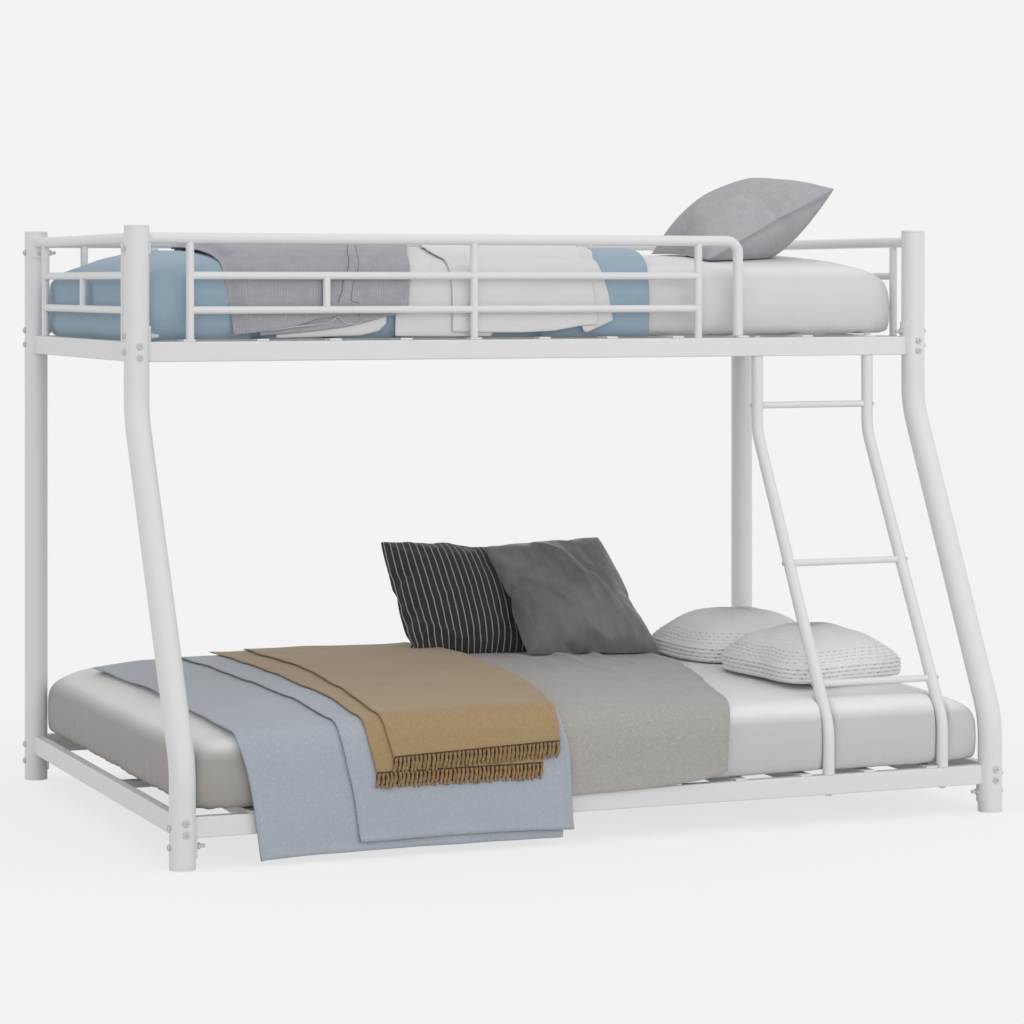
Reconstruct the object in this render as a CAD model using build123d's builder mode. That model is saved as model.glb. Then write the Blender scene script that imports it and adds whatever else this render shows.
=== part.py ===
from build123d import *
from math import cos, radians, sin, sqrt
import os

os.makedirs("parts", exist_ok=True)

# A low metal bunk bed: a single bed over a wider one, with the two front posts and the
# ladder bent outwards from the narrow upper deck to the wide base, dressed with its
# mattresses, pillows and throws. X runs along the bed, +Y to the back, Z up from the floor.

# Overall size of the frame
bed_length = 2030.0          # over the posts, along X
base_depth = 1377.0          # over the posts at the floor, along Y
upper_depth = 1010.0         # over the posts at the upper deck, along Y
bed_height = 1376.0          # floor to the top of the post caps

# Posts, their bends and their caps
post_diameter = 57.0
post_wall = 2.0
post_upper_bend_z = 949.0
post_lower_bend_z = 221.0
post_bend_radius = 180.0
cap_thickness = 4.0
cap_dome = 1.5
cap_taper = 60.0
cap_plug_length = 22.0
cap_plug_wall = 3.0
foot_thickness = 5.0
plug_clearance = 0.25

# Rails, and the curved saddles welded to their ends
rail_height = 45.0
rail_width = 25.0
rail_wall = 1.6
rail_corner = 3.0
rail_levels = {"lower": 66.5, "upper": 1069.5}
saddle_thickness = 3.5
saddle_half_angle = 37.0
saddle_gap = 0.2
saddle_corner = 9.0
saddle_tabs = {"lower": 42.5, "upper": 35.5}     # reach of a long rail's saddles past the rail
tab_bolts = {"lower": 18.5, "upper": 13.0}       # bolt in a saddle's tab, from the rail's edge
end_bolt_spread = 25.0                           # between the two bolts of an end rail

# Bolts, nuts and screws of the frame
seat_gap = 0.2               # between a part and the surface it is seated on
bolt_diameter = 8.0
bolt_hole = 8.8
bolt_length = 78.0
bolt_head = 15.0
bolt_head_height = 4.0
nut_width = 12.5
nut_height = 6.0
nut_bore = 8.2
head_rim_share = 0.5
head_taper = 40.0
socket_width_share = 0.3
socket_depth_share = 0.6
small_screw_diameter = 5.0
small_screw_hole = 5.6
small_screw_head = 10.0
small_screw_head_height = 2.5
small_screw_length = 11.0

# Slats, and the beam and legs under their middle
slat_count = 11
slat_pitches = {"lower": 165.0, "upper": 172.9}
slat_shifts = {"lower": 0.0, "upper": -2.5}      # of the row's middle, along X
slat_width = 31.0
slat_height = 26.0
slat_wall = 1.4
slat_corner = 2.0
slat_tongue_thickness = 4.8
slat_tongue_grip = 18.0      # length of a tongue inside its slat
slat_tongue_setback = 1.0
slat_end_gap = 0.6
slat_stud = 8.0
slat_stud_length = 12.0
slat_stud_hole = 9.0
beam_width = 25.0
beam_height = 18.0
beam_wall = 1.5
beam_gap = 0.2
hanger_thickness = 3.0
hanger_reach = 36.0
hanger_gap = 0.3
leg_offset = 480.0           # centre legs, from the middle of the bed
leg_diameter = 25.0
leg_wall = 1.5
leg_plate_length = 56.0
leg_plate_width = 25.0
leg_plate_thickness = 3.0
leg_screw_spread = 42.0
leg_cap_thickness = 4.0

# Guards round the upper deck
guard_z = 1347.0             # centre of the top tube
guard_tube = 25.0
guard_tube_wall = 1.5
guard_bend_radius = 30.0
upright_tube = 19.0
upright_wall = 1.5
mid_tube = 17.5
mid_wall = 1.3
mid_heights = [1185.0, 1263.0]
spigot = 14.0
spigot_bore = 10.0
spigot_length = 20.0
spigot_hole = 14.6
spigot_plate = 3.0
guard_saddle_low = 38.0      # foot of a guard's saddle, below the top tube's centre
guard_saddle_high = 13.0
guard_saddle_half_angle = 30.0
guard_bolt_drop = 25.0       # guard bolt below the top tube's centre
guard_screw_drop = 27.0
guard_outer_inset = 123.5    # first upright from a post's centre, along X
guard_front_xs = [-177.0, 400.0]
guard_front_stub_x = -539.0
guard_front_end_x = 506.0
guard_rear_inner_x = 288.0
guard_end_inset = 100.0      # first upright from a post's centre, along Y

# Ladder
ladder_xs = [558.0, 858.0]
ladder_tube = 28.0
ladder_wall = 1.6
ladder_upper_bend_z = 888.0
ladder_lower_bend_z = 222.0
ladder_bend_radius = 120.0
ladder_end_plate = 4.0
rung_heights = [950.5, 582.5, 314.5]
rung_tube = 16.0
rung_wall = 1.5
rung_plug = 8.0
rung_gap = 0.2
rung_screw = 6.0
rung_screw_hole = 6.6
rung_screw_head = 11.0
rung_screw_head_height = 3.0
rung_screw_length = 44.0
ladder_bolt_head = 16.0
ladder_bolt_length = 70.0

# Mattresses: the ends round in, down and up over their last stretch
mattress_gap = 0.3
upper_mattress_length = 1912.0
upper_mattress_width = 900.0
upper_mattress_y = 188.0
upper_mattress_height = 167.0
upper_mattress_crown = 31.0
upper_end_length = 150.0
upper_end_drop = 55.0
lower_mattress_length = 1934.0
lower_mattress_height = 167.0
lower_mattress_crown = 18.0
lower_end_length = 220.0
lower_end_drop = 62.0
mattress_corner = 34.0
mattress_bulge = 14.0
least_crown = 1.5
mattress_edge_radius = 38.0
mattress_end_lift = 4.0
mattress_end_shares = (0.0, 0.35, 0.62, 0.82, 0.94, 1.0)
post_room_gap = 1.0
ladder_room_gap = 0.6
ladder_room_depth = 60.0

# Cloth on the beds. Outlines from above are shares of half the bed's length and depth, and
# outlines from the front are shares of half the length and of the mattress's height.
cloth_thickness = 4.0
cloth_gap = 0.3
blanket_front_shares = ((-1.1, 0.03), (0.288, 0.03), (0.285, 0.52), (0.259, 0.94), (0.211, 1.26),
                        (0.211, 1.6), (-1.1, 1.6))
grey_plan_shares = ((-0.803, -2.0), (-0.3475, -2.0), (-0.3475, 0.78), (-0.803, 0.78))
grey_front_shares = ((-0.803, 1.6), (-0.803, 1.0), (-0.76, 0.12), (-0.3475, 0.19), (-0.3475, 1.6))
white_plan_shares = ((-0.335, -2.0), (0.19, -2.0), (0.11, -0.9), (0.104, 0.78), (-0.335, 0.78))
white_front_shares = ((-0.335, 1.6), (-0.335, 0.05), (0.1835, 0.1), (0.151, 0.87), (0.104, 1.25), (0.104, 1.6))
blue_plan_shares = ((-0.889, -1.3), (-0.083, -1.3), (-0.083, -1.0), (-0.126, -0.98), (-0.126, 0.75),
                    (-0.889, 0.75))
blue_front_shares = ((-0.889, 1.6), (-0.884, 1.0), (-0.832, -0.62), (-0.084, -0.5), (-0.126, 1.0), (-0.126, 1.6))
blue_fold_front_shares = ((-0.66, 1.6), (-0.644, 1.0), (-0.602, -0.46), (-0.088, -0.42), (-0.13, 1.0),
                          (-0.13, 1.6))
camel_plan_shares = ((-0.563, -1.3), (-0.132, -1.3), (-0.132, -1.02), (-0.081, -0.605), (-0.037, 0.145),
                     (-0.054, 0.8), (-0.563, 0.8))
camel_front_shares = ((-0.563, 1.6), (-0.563, 1.0), (-0.556, 0.18), (-0.176, 0.19), (-0.132, 0.97),
                      (-0.03, 1.03), (-0.03, 1.6))
camel_fold_front_shares = ((-0.48, 1.6), (-0.54, 1.0), (-0.522, 0.38), (-0.17, 0.42), (-0.136, 0.97),
                           (-0.034, 1.03), (-0.034, 1.6))
taupe_plan_shares = ((-0.076, -1.3), (0.292, -1.3), (0.292, -0.97), (0.388, -0.512), (0.444, -0.165),
                     (0.468, 0.64), (-0.076, 0.64))
taupe_front_shares = ((-0.076, 1.6), (-0.076, -0.01), (0.292, 0.05), (0.292, 1.0), (0.48, 1.05), (0.48, 1.6))

# Pillows: width, height and thickness, the place of the middle, the turn about Z from
# facing the front, the lean back from upright and the slump of the top to the left
pillow_gap = 0.5
pillow_edge = 5.0
pillow_shares = (-1.0, -0.92, -0.74, -0.42, 0.0, 0.42, 0.74, 0.92, 1.0)
pillow_draw_share = 0.05
pillow_swell_power = 1.3
upper_pillow_size = (380.0, 370.0, 195.0)
upper_pillow_place = (658.0, 20.0, 1405.0)
upper_pillow_pose = (-90.0, 60.0, 0.0)
striped_size = (345.0, 328.0, 110.0)
striped_place = (42.0, 396.0, 446.0)
striped_pose = (-6.0, 33.0, 5.0)
velvet_size = (322.0, 352.0, 120.0)
velvet_place = (297.0, 250.0, 444.0)
velvet_pose = (-12.0, 36.0, 15.0)
knit_edge = 40.0
knit_size = (350.0, 375.0, 194.0)
knit_back_place = (692.0, 96.0, 325.0)
knit_back_pose = (4.0, 90.0, 0.0)
knit_front_place = (690.0, -318.0, 325.0)
knit_front_pose = (8.0, 90.0, 0.0)

# Places worked out from the sizes above
overrun = post_diameter
post_radius = post_diameter / 2
post_x = (bed_length - post_diameter) / 2
rear_y = (base_depth - post_diameter) / 2
foot_y = -rear_y
deck_y = rear_y - (upper_depth - post_diameter)
post_top_z = bed_height - cap_thickness - cap_dome
front_ys = {"lower": foot_y, "upper": deck_y}
end_spans = {level: rear_y - y for level, y in front_ys.items()}
end_middles = {level: (rear_y + y) / 2 for level, y in front_ys.items()}
rail_tops = {level: z + rail_height for level, z in rail_levels.items()}
slat_tops = {level: z + seat_gap + slat_tongue_thickness for level, z in rail_tops.items()}
slat_places = {level: [slat_shifts[level] + (i - (slat_count - 1) / 2) * pitch for i in range(slat_count)]
               for level, pitch in slat_pitches.items()}
beam_tops = {level: z - slat_height - beam_gap for level, z in slat_tops.items()}
bed_zs = {level: z + mattress_gap for level, z in slat_tops.items()}
saddle_inner = post_radius + saddle_gap
saddle_outer = saddle_inner + saddle_thickness
rail_end = sqrt(saddle_outer ** 2 - (rail_width / 2) ** 2) - saddle_gap
tube_end = sqrt(saddle_outer ** 2 - (guard_tube / 2) ** 2) - saddle_gap
outer_upright = post_x - guard_outer_inset
guard_places = {"front": [-outer_upright] + guard_front_xs,
                "rear": [-outer_upright, -guard_rear_inner_x, guard_rear_inner_x, outer_upright]}
guard_feet = {"front": guard_places["front"] + [guard_front_end_x], "rear": guard_places["rear"]}
end_upright = (rear_y - deck_y) / 2 - guard_end_inset
ladder_radius = ladder_tube / 2
ladder_top_z = rail_levels["upper"] - seat_gap
ladder_foot_z = rail_tops["lower"] + seat_gap
upper_bed = (upper_mattress_length, upper_mattress_width, upper_mattress_height, upper_mattress_crown,
             upper_end_length, upper_end_drop, upper_mattress_y, bed_zs["upper"])
lower_bed = (lower_mattress_length, base_depth - post_diameter + rail_width, lower_mattress_height,
             lower_mattress_crown, lower_end_length, lower_end_drop, 0.0, bed_zs["lower"])


def long_bolt_heights(level):
    """Heights of the two bolts at each end of a long rail: in the rail, and in its tab."""
    in_rail = rail_levels[level] + rail_height / 2
    if level == "upper":
        return [in_rail, rail_tops[level] + tab_bolts[level]]
    return [in_rail, rail_levels[level] - tab_bolts[level]]


def end_bolt_heights(level):
    """Heights of the two bolts at each end of an end rail."""
    middle = rail_levels[level] + rail_height / 2
    return [middle - end_bolt_spread / 2, middle + end_bolt_spread / 2]


def over_slat(x):
    """The upper deck's slat whose tongue lies under an upright at x, or None."""
    return next((s for s in slat_places["upper"] if abs(s - x) < (slat_width + upright_tube) / 2), None)


def deck_seat_z(x):
    """Height on which something that stands on an upper long rail at x is seated."""
    return (rail_tops["upper"] if over_slat(x) is None else slat_tops["upper"]) + seat_gap


def tongue_pins(level, side):
    """Pins, as (x, hole diameter), that pass through the slat tongues on one long rail."""
    if level == "lower":
        return []
    pins = [(x, spigot_hole) for x in guard_feet[side]]
    if side == "front":
        pins += [(x, bolt_hole) for x in ladder_xs]
    return [(x, hole) for x, hole in pins if over_slat(x) is not None]


def stud_places(level, side):
    """Slats that have a stud at one long rail: those with no pin where the stud would be."""
    pins = tongue_pins(level, side)
    return [s for s in slat_places[level] if all(abs(s - x) > (hole + slat_stud) / 2 for x, hole in pins)]


def square_plane(plane, along, z=0.0):
    """Plane square to a run at a distance along it: its X is the run's side, and its Y is up."""
    origin = plane.origin + plane.x_dir * along + plane.z_dir * z
    return Plane(origin=origin, x_dir=plane.y_dir, z_dir=plane.x_dir)


def run_point(plane, along, z):
    return tuple(plane.origin + plane.x_dir * along + plane.z_dir * z)


def end_plane(side, level):
    """Plane of an end rail: X along the rail, and -Y towards the inside of the bed."""
    return Plane(origin=(side * post_x, end_middles[level], 0), x_dir=(0, -side, 0), z_dir=(0, 0, 1))


def drill(plane, places, diameter, depth):
    """Round holes from a plane, along its Z."""
    with BuildSketch(plane) as holes:
        with Locations(places):
            Circle(diameter / 2)
    extrude(holes.sketch, amount=depth, mode=Mode.SUBTRACT)


def saddles(plane, ends, z_low, z_high, half_angle):
    """Curved plates with rounded corners that hug the posts at the ends of a run."""
    with BuildSketch(plane.offset(z_low)) as arcs:
        for end in ends:
            start = 180 - half_angle if end > 0 else -half_angle
            with BuildLine():
                inside = CenterArc((end, 0), saddle_inner, start, 2 * half_angle)
                outside = CenterArc((end, 0), saddle_outer, start, 2 * half_angle)
                Line(inside @ 0, outside @ 0)
                Line(inside @ 1, outside @ 1)
            make_face()
    extrude(arcs.sketch, amount=z_high - z_low)
    width = 2 * saddle_outer * sin(radians(half_angle)) + saddle_gap
    with BuildSketch(square_plane(plane, -bed_length)) as tongue:
        with Locations((0, (z_low + z_high) / 2)):
            RectangleRounded(width, z_high - z_low, saddle_corner)
    extrude(tongue.sketch, amount=2 * bed_length, mode=Mode.INTERSECT)


def saddle_holes(plane, end, heights, diameter):
    """Holes along a run through the saddle at one of its ends."""
    facing = -1 if end > 0 else 1
    start = end + facing * (post_radius - post_wall)
    drill(square_plane(plane, start), [(0, z) for z in heights], diameter,
          facing * (post_wall + 2 * saddle_thickness))


def box_tube(plane, start, end, width, height, wall, corner, z_middle):
    """Rectangular tube along a run, open at both ends."""
    with BuildSketch(square_plane(plane, start)) as profile:
        with Locations((0, z_middle)):
            RectangleRounded(width, height, corner)
            RectangleRounded(width - 2 * wall, height - 2 * wall, corner / 2, mode=Mode.SUBTRACT)
    extrude(profile.sketch, amount=end - start)


def rail_body(plane, half_span, level):
    reach = half_span - rail_end
    box_tube(plane, -reach, reach, rail_width, rail_height, rail_wall, rail_corner,
             rail_levels[level] + rail_height / 2)


def long_rail(plane, level, side):
    """Long rail with its saddles, bolt holes and the holes for slat studs and guard spigots."""
    low = rail_levels[level] - (saddle_tabs[level] if level == "lower" else 0)
    high = rail_tops[level] + (saddle_tabs[level] if level == "upper" else 0)
    saddles(plane, (-post_x, post_x), low, high, saddle_half_angle)
    rail_body(plane, post_x, level)
    for end in (-post_x, post_x):
        saddle_holes(plane, end, long_bolt_heights(level), bolt_hole)
    top = plane.offset(rail_tops[level] + rail_wall)
    drill(top, [(x, 0) for x in stud_places(level, side)], slat_stud_hole, -3 * rail_wall)
    if level == "upper":
        drill(top, [(x, 0) for x in guard_feet[side]], spigot_hole, -3 * rail_wall)
    if side == "front":
        drill(top, [(x, 0) for x in ladder_xs], bolt_hole, -rail_height - 2 * rail_wall)


def end_rail(plane, level):
    """End rail with its saddles, bolt holes and the hanger that carries the middle beam."""
    half_span = end_spans[level] / 2
    saddles(plane, (-half_span, half_span), rail_levels[level], rail_tops[level], saddle_half_angle)
    rail_body(plane, half_span, level)
    for end in (-half_span, half_span):
        saddle_holes(plane, end, end_bolt_heights(level), bolt_hole)
    beam_top = beam_tops[level]
    beam_base = beam_top - beam_height - hanger_gap
    inner_face = Plane(origin=plane.origin - plane.y_dir * rail_width / 2, x_dir=plane.x_dir, z_dir=-plane.y_dir)
    with BuildSketch(inner_face) as hanger:
        with Locations((0, (beam_top + beam_base - hanger_thickness) / 2)):
            Rectangle(beam_width + 2 * (hanger_gap + hanger_thickness), beam_top - beam_base + hanger_thickness)
        with Locations((0, (beam_top + beam_base) / 2)):
            Rectangle(beam_width + 2 * hanger_gap, beam_top - beam_base, mode=Mode.SUBTRACT)
    extrude(hanger.sketch, amount=hanger_reach)
    drill(plane.offset(beam_base), [(0, -rail_width / 2 - hanger_reach / 2)], small_screw_hole, -overrun)
    if level == "upper":
        drill(plane.offset(rail_tops[level] + rail_wall), [(-end_upright, 0), (end_upright, 0)], spigot_hole,
              -3 * rail_wall)


def slats(level):
    """The slats of a deck: open tubes between the long rails, hung on them by tongues with studs."""
    top = slat_tops[level]
    half_span = end_spans[level] / 2
    clear = half_span - rail_width / 2 - slat_end_gap
    for x in slat_places[level]:
        run = Plane(origin=(x, end_middles[level], 0), x_dir=(0, 1, 0), z_dir=(0, 0, 1))
        box_tube(run, -clear, clear, slat_width, slat_height, slat_wall, slat_corner, top - slat_height / 2)
        for end in (-1, 1):
            outer = half_span + rail_width / 2 - slat_tongue_setback
            inner = clear - slat_tongue_grip
            with BuildSketch(run.offset(top)) as tongue:
                with Locations((end * (outer + inner) / 2, 0)):
                    Rectangle(outer - inner, slat_width - 2 * slat_wall)
            extrude(tongue.sketch, amount=-slat_tongue_thickness)
    for side, y in (("front", front_ys[level]), ("rear", rear_y)):
        underside = Plane((0, y, top - slat_tongue_thickness))
        with BuildSketch(underside) as studs:
            with Locations([(x, 0) for x in stud_places(level, side)]):
                Circle(slat_stud / 2)
        extrude(studs.sketch, amount=-slat_stud_length)
        for x, hole in tongue_pins(level, side):
            drill(underside.offset(-seat_gap), [(x, 0)], hole, slat_tongue_thickness + 2 * seat_gap)


def middle_beam(level):
    """Beam under the middle of the slats, carried by the hangers of the end rails."""
    reach = post_x - rail_width / 2 - hanger_gap
    plane = Plane((0, end_middles[level], 0))
    beam_base = beam_tops[level] - beam_height
    box_tube(plane, -reach, reach, beam_width, beam_height, beam_wall, slat_corner, beam_base + beam_height / 2)
    screws = [reach + hanger_gap - hanger_reach / 2]
    if level == "lower":
        screws += [leg_offset - leg_screw_spread / 2, leg_offset + leg_screw_spread / 2]
    drill(plane.offset(beam_base - beam_gap), [(side * x, 0) for side in (-1, 1) for x in screws],
          small_screw_hole, 2 * beam_wall)


def round_disc(plane, radius, height, taper=0.0):
    with BuildSketch(plane) as disc:
        Circle(radius)
    extrude(disc.sketch, amount=height, taper=taper)


def capped_bolt(seat, length, diameter, head, head_height):
    """Bolt with a domed socket head on a seat plane, its shank going down from the seat."""
    rim_height = head_height * head_rim_share
    round_disc(seat, diameter / 2, -length)
    round_disc(seat, head / 2, rim_height)
    round_disc(seat.offset(rim_height), head / 2, head_height - rim_height, head_taper)
    with BuildSketch(seat.offset(head_height)) as socket:
        RegularPolygon(diameter * socket_width_share, 6)
    extrude(socket.sketch, amount=-head_height * socket_depth_share, mode=Mode.SUBTRACT)


def hex_nut(seat):
    with BuildSketch(seat) as profile:
        RegularPolygon(nut_width / 2, 6, major_radius=False)
        Circle(nut_bore / 2, mode=Mode.SUBTRACT)
    extrude(profile.sketch, amount=nut_height)


def facing_plane(x, y, z, direction):
    return Plane(origin=(x, y, z), z_dir=direction)


def rail_joints(level, along, reach):
    """Planes round the posts at the bolts of the long (X) or end (Y) rails, facing away from them.

    A positive reach is outside the posts, where heads are seated, and a negative one is inside.
    """
    planes = []
    for x_side in (-1, 1):
        for y_side, y in ((-1, front_ys[level]), (1, rear_y)):
            for z in long_bolt_heights(level) if along == "X" else end_bolt_heights(level):
                way = 1 if reach > 0 else -1
                if along == "X":
                    place, direction = (x_side * (post_x + reach), y, z), (x_side * way, 0, 0)
                else:
                    place, direction = (x_side * post_x, y + y_side * reach, z), (0, y_side * way, 0)
                planes.append(facing_plane(*place, direction))
    return planes


def round_bars(runs, radius, mode):
    """Straight round bars between pairs of points."""
    for start, end in runs:
        direction = Vector(*end) - Vector(*start)
        with BuildSketch(Plane(origin=start, z_dir=direction)) as bar:
            Circle(radius)
        extrude(bar.sketch, amount=direction.length, mode=mode)


def guard_frame(plane, uprights, mid_ends, stubs, ends, bent_end=None):
    """Welded guard, made solid and then bored: top tube, uprights, two mid tubes and stubs.

    The top tube runs between saddles at both ends, or bends down to its own foot at bent_end.
    """
    on_end_rail = plane.x_dir.X == 0
    feet = {x: rail_tops["upper"] + seat_gap if on_end_rail else deck_seat_z(x)
            for x in uprights + ([] if bent_end is None else [bent_end])}
    for bored in (False, True):
        mode = Mode.SUBTRACT if bored else Mode.ADD
        top_radius = guard_tube / 2 - (guard_tube_wall if bored else 0)
        inset = saddle_outer if bored else tube_end
        start = run_point(plane, ends[0] + inset, guard_z)
        floor = {x: z + (spigot_plate if bored else 0) for x, z in feet.items()}
        if bent_end is None:
            round_bars([(start, run_point(plane, ends[1] - inset, guard_z))], top_radius, mode)
        else:
            with BuildLine() as bent_line:
                FilletPolyline(start, run_point(plane, bent_end, guard_z),
                               run_point(plane, bent_end, floor[bent_end]), radius=guard_bend_radius)
            with BuildSketch(Plane(origin=start, z_dir=plane.x_dir)) as bar:
                Circle(top_radius)
            sweep(bar.sketch, path=bent_line.wires()[0], mode=mode)
        round_bars([(run_point(plane, x, floor[x]), run_point(plane, x, guard_z)) for x in uprights],
                   upright_tube / 2 - (upright_wall if bored else 0), mode)
        mids = [(run_point(plane, mid_ends[0], z), run_point(plane, mid_ends[1], z)) for z in mid_heights]
        mids += [(run_point(plane, x, mid_heights[0]), run_point(plane, x, mid_heights[1])) for x in stubs]
        round_bars(mids, mid_tube / 2 - (mid_wall if bored else 0), mode)
    tip_z = rail_tops["upper"] - spigot_length
    round_bars([(run_point(plane, x, z + spigot_plate / 2), run_point(plane, x, tip_z))
                for x, z in feet.items()], spigot / 2, Mode.ADD)
    round_bars([(run_point(plane, x, z + 2 * spigot_plate), run_point(plane, x, tip_z))
                for x, z in feet.items()], spigot_bore / 2, Mode.SUBTRACT)


def guard_saddles(plane, ends, drop, hole):
    saddles(plane, ends, guard_z - guard_saddle_low, guard_z + guard_saddle_high, guard_saddle_half_angle)
    for end in ends:
        saddle_holes(plane, end, [guard_z - drop], hole)


def plug_cap(seat, radius, wall, thickness, dome=0.0):
    """Plastic cap on a tube's end: a disc outside the seat plane, and a hollow plug inside it."""
    round_disc(seat, radius, thickness)
    if dome > 0:
        round_disc(seat.offset(thickness), radius, dome, cap_taper)
    extrude(tube_section(seat, radius - wall - plug_clearance, cap_plug_wall), amount=-cap_plug_length)


def tube_section(plane, radius, wall):
    with BuildSketch(plane) as ring:
        Circle(radius)
        Circle(radius - wall, mode=Mode.SUBTRACT)
    return ring.sketch


def post_holes(x, facing, ys, guard_bolt):
    """Holes through a post for its rails, its guard's bolt (along X) and its end guard's screw."""
    through = [(ys[level], z) for level in ys for z in long_bolt_heights(level)]
    if guard_bolt:
        through.append((ys["upper"], guard_z - guard_bolt_drop))
    for y, z in through:
        drill(facing_plane(x - overrun, y, z, (1, 0, 0)), [(0, 0)], bolt_hole, 2 * overrun)
    for level, y in ys.items():
        for z in end_bolt_heights(level):
            drill(facing_plane(x, y - overrun, z, (0, 1, 0)), [(0, 0)], bolt_hole, 2 * overrun)
    drill(facing_plane(x, ys["upper"], guard_z - guard_screw_drop, (0, facing, 0)), [(0, 0)],
          small_screw_hole, overrun)


def front_post_line(x, z_low, z_high):
    """Centre line of a front post: upright, sloping outwards between two bends, and upright."""
    return FilletPolyline((x, foot_y, z_low), (x, foot_y, post_lower_bend_z), (x, deck_y, post_upper_bend_z),
                          (x, deck_y, z_high), radius=post_bend_radius)


def front_post(x, guard_bolt):
    with BuildLine() as centre_line:
        front_post_line(x, foot_thickness + seat_gap, post_top_z - seat_gap)
    ring = tube_section(Plane((x, foot_y, foot_thickness + seat_gap)), post_radius, post_wall)
    sweep(ring, path=centre_line.wires()[0])
    post_holes(x, 1, front_ys, guard_bolt)


def rear_post(x):
    ring = tube_section(Plane((x, rear_y, foot_thickness + seat_gap)), post_radius, post_wall)
    extrude(ring, amount=post_top_z - foot_thickness - 2 * seat_gap)
    post_holes(x, -1, {"lower": rear_y, "upper": rear_y}, True)


def ladder_line(x, z_low, z_high):
    return FilletPolyline((x, foot_y, z_low), (x, foot_y, ladder_lower_bend_z), (x, deck_y, ladder_upper_bend_z),
                          (x, deck_y, z_high), radius=ladder_bend_radius)


def ladder_place(z):
    """Y of the uprights' centre line at a height, and their direction there."""
    if z >= ladder_upper_bend_z:
        return deck_y, (0, 0, 1)
    share = (ladder_upper_bend_z - z) / (ladder_upper_bend_z - ladder_lower_bend_z)
    return deck_y + (foot_y - deck_y) * share, (0, deck_y - foot_y, ladder_upper_bend_z - ladder_lower_bend_z)


def ladder_upright(x):
    """Bent tube with a threaded plate in each end."""
    with BuildLine() as centre_line:
        ladder_line(x, ladder_foot_z, ladder_top_z)
    ring = tube_section(Plane((x, foot_y, ladder_foot_z)), ladder_radius, ladder_wall)
    sweep(ring, path=centre_line.wires()[0])
    plate_radius = ladder_radius - ladder_wall / 2
    for y, z, way in ((foot_y, ladder_foot_z, 1), (deck_y, ladder_top_z, -1)):
        plate = tube_section(Plane((x, y, z)), plate_radius, plate_radius - nut_bore / 2)
        extrude(plate, amount=way * ladder_end_plate)
    for z in rung_heights:
        drill(facing_plane(x - ladder_tube, ladder_place(z)[0], z, (1, 0, 0)), [(0, 0)], rung_screw_hole,
              2 * ladder_tube)


def ladder_rung(z):
    """Rung tube with threaded plugs, its ends cut to the round of the uprights."""
    y, direction = ladder_place(z)
    inside = ladder_radius + rung_gap
    left = facing_plane(ladder_xs[0], y, z, (1, 0, 0))
    length = ladder_xs[1] - ladder_xs[0]
    extrude(tube_section(left, rung_tube / 2, rung_wall), amount=length)
    plug_radius = rung_tube / 2 - rung_wall / 2
    for start in (inside, length - inside - rung_plug):
        plug = tube_section(left.offset(start), plug_radius, plug_radius - rung_screw_hole / 2)
        extrude(plug, amount=rung_plug)
    for x in ladder_xs:
        with BuildSketch(facing_plane(x, y, z, direction)) as coping:
            Circle(inside)
        extrude(coping.sketch, amount=ladder_tube, both=True, mode=Mode.SUBTRACT)


def mattress_outline(half_width, low, high, crown):
    """Cross-section of a mattress: flat base, bulging sides and a crowned top with soft edges."""
    foot = half_width - mattress_bulge
    middle = (low + high) / 2
    with BuildLine() as outline:
        Line((foot, low), (-foot, low))
        ThreePointArc((-foot, low), (-half_width, middle), (-foot, high))
        ThreePointArc((-foot, high), (0, high + crown), (foot, high))
        ThreePointArc((foot, high), (half_width, middle), (foot, low))
    make_face(outline.edges())
    fillet(vertices().group_by(Axis.Y)[-1], radius=mattress_edge_radius)


def bed_form(bed, grow=0.0, mode=Mode.ADD):
    """A mattress, grown by a distance: a straight middle, and ends that round in, down and up."""
    length, width, height, crown, end, drop, y_middle, base = bed
    straight = length / 2 - end

    def section(x, inward, down, up, flatter):
        with BuildSketch(Plane(origin=(x, y_middle, 0), x_dir=(0, 1, 0), z_dir=(1, 0, 0))) as across:
            mattress_outline(width / 2 - inward + grow, base + up - grow, base + height - down + grow,
                             crown * (1 - flatter) + least_crown)
        return across.sketch

    extrude(section(-straight, 0.0, 0.0, 0.0, 0.0), amount=2 * straight, mode=mode)
    for side in (-1, 1):
        sections = []
        for share in mattress_end_shares:
            rounding = 1 - sqrt(1 - share ** 2)
            sections.append(section(side * (straight + (end + grow) * share), mattress_corner * rounding ** 2,
                                    drop * rounding, mattress_end_lift * rounding, rounding))
        loft(sections, mode=mode)


def clip(plane, points, depth):
    """Keep only what lies inside an outline, through a depth."""
    with BuildSketch(plane) as outline:
        Polygon(*points, align=None)
    extrude(outline.sketch, amount=depth, mode=Mode.INTERSECT)


def front_clip(bed, shares):
    """Keep only what lies inside an outline seen from the front."""
    height, base = bed[2], bed[7]
    points = [(x * post_x, base + z * height) for x, z in shares]
    clip(Plane(origin=(0, -base_depth, 0), x_dir=(1, 0, 0), z_dir=(0, -1, 0)), points, -2 * base_depth)


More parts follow.
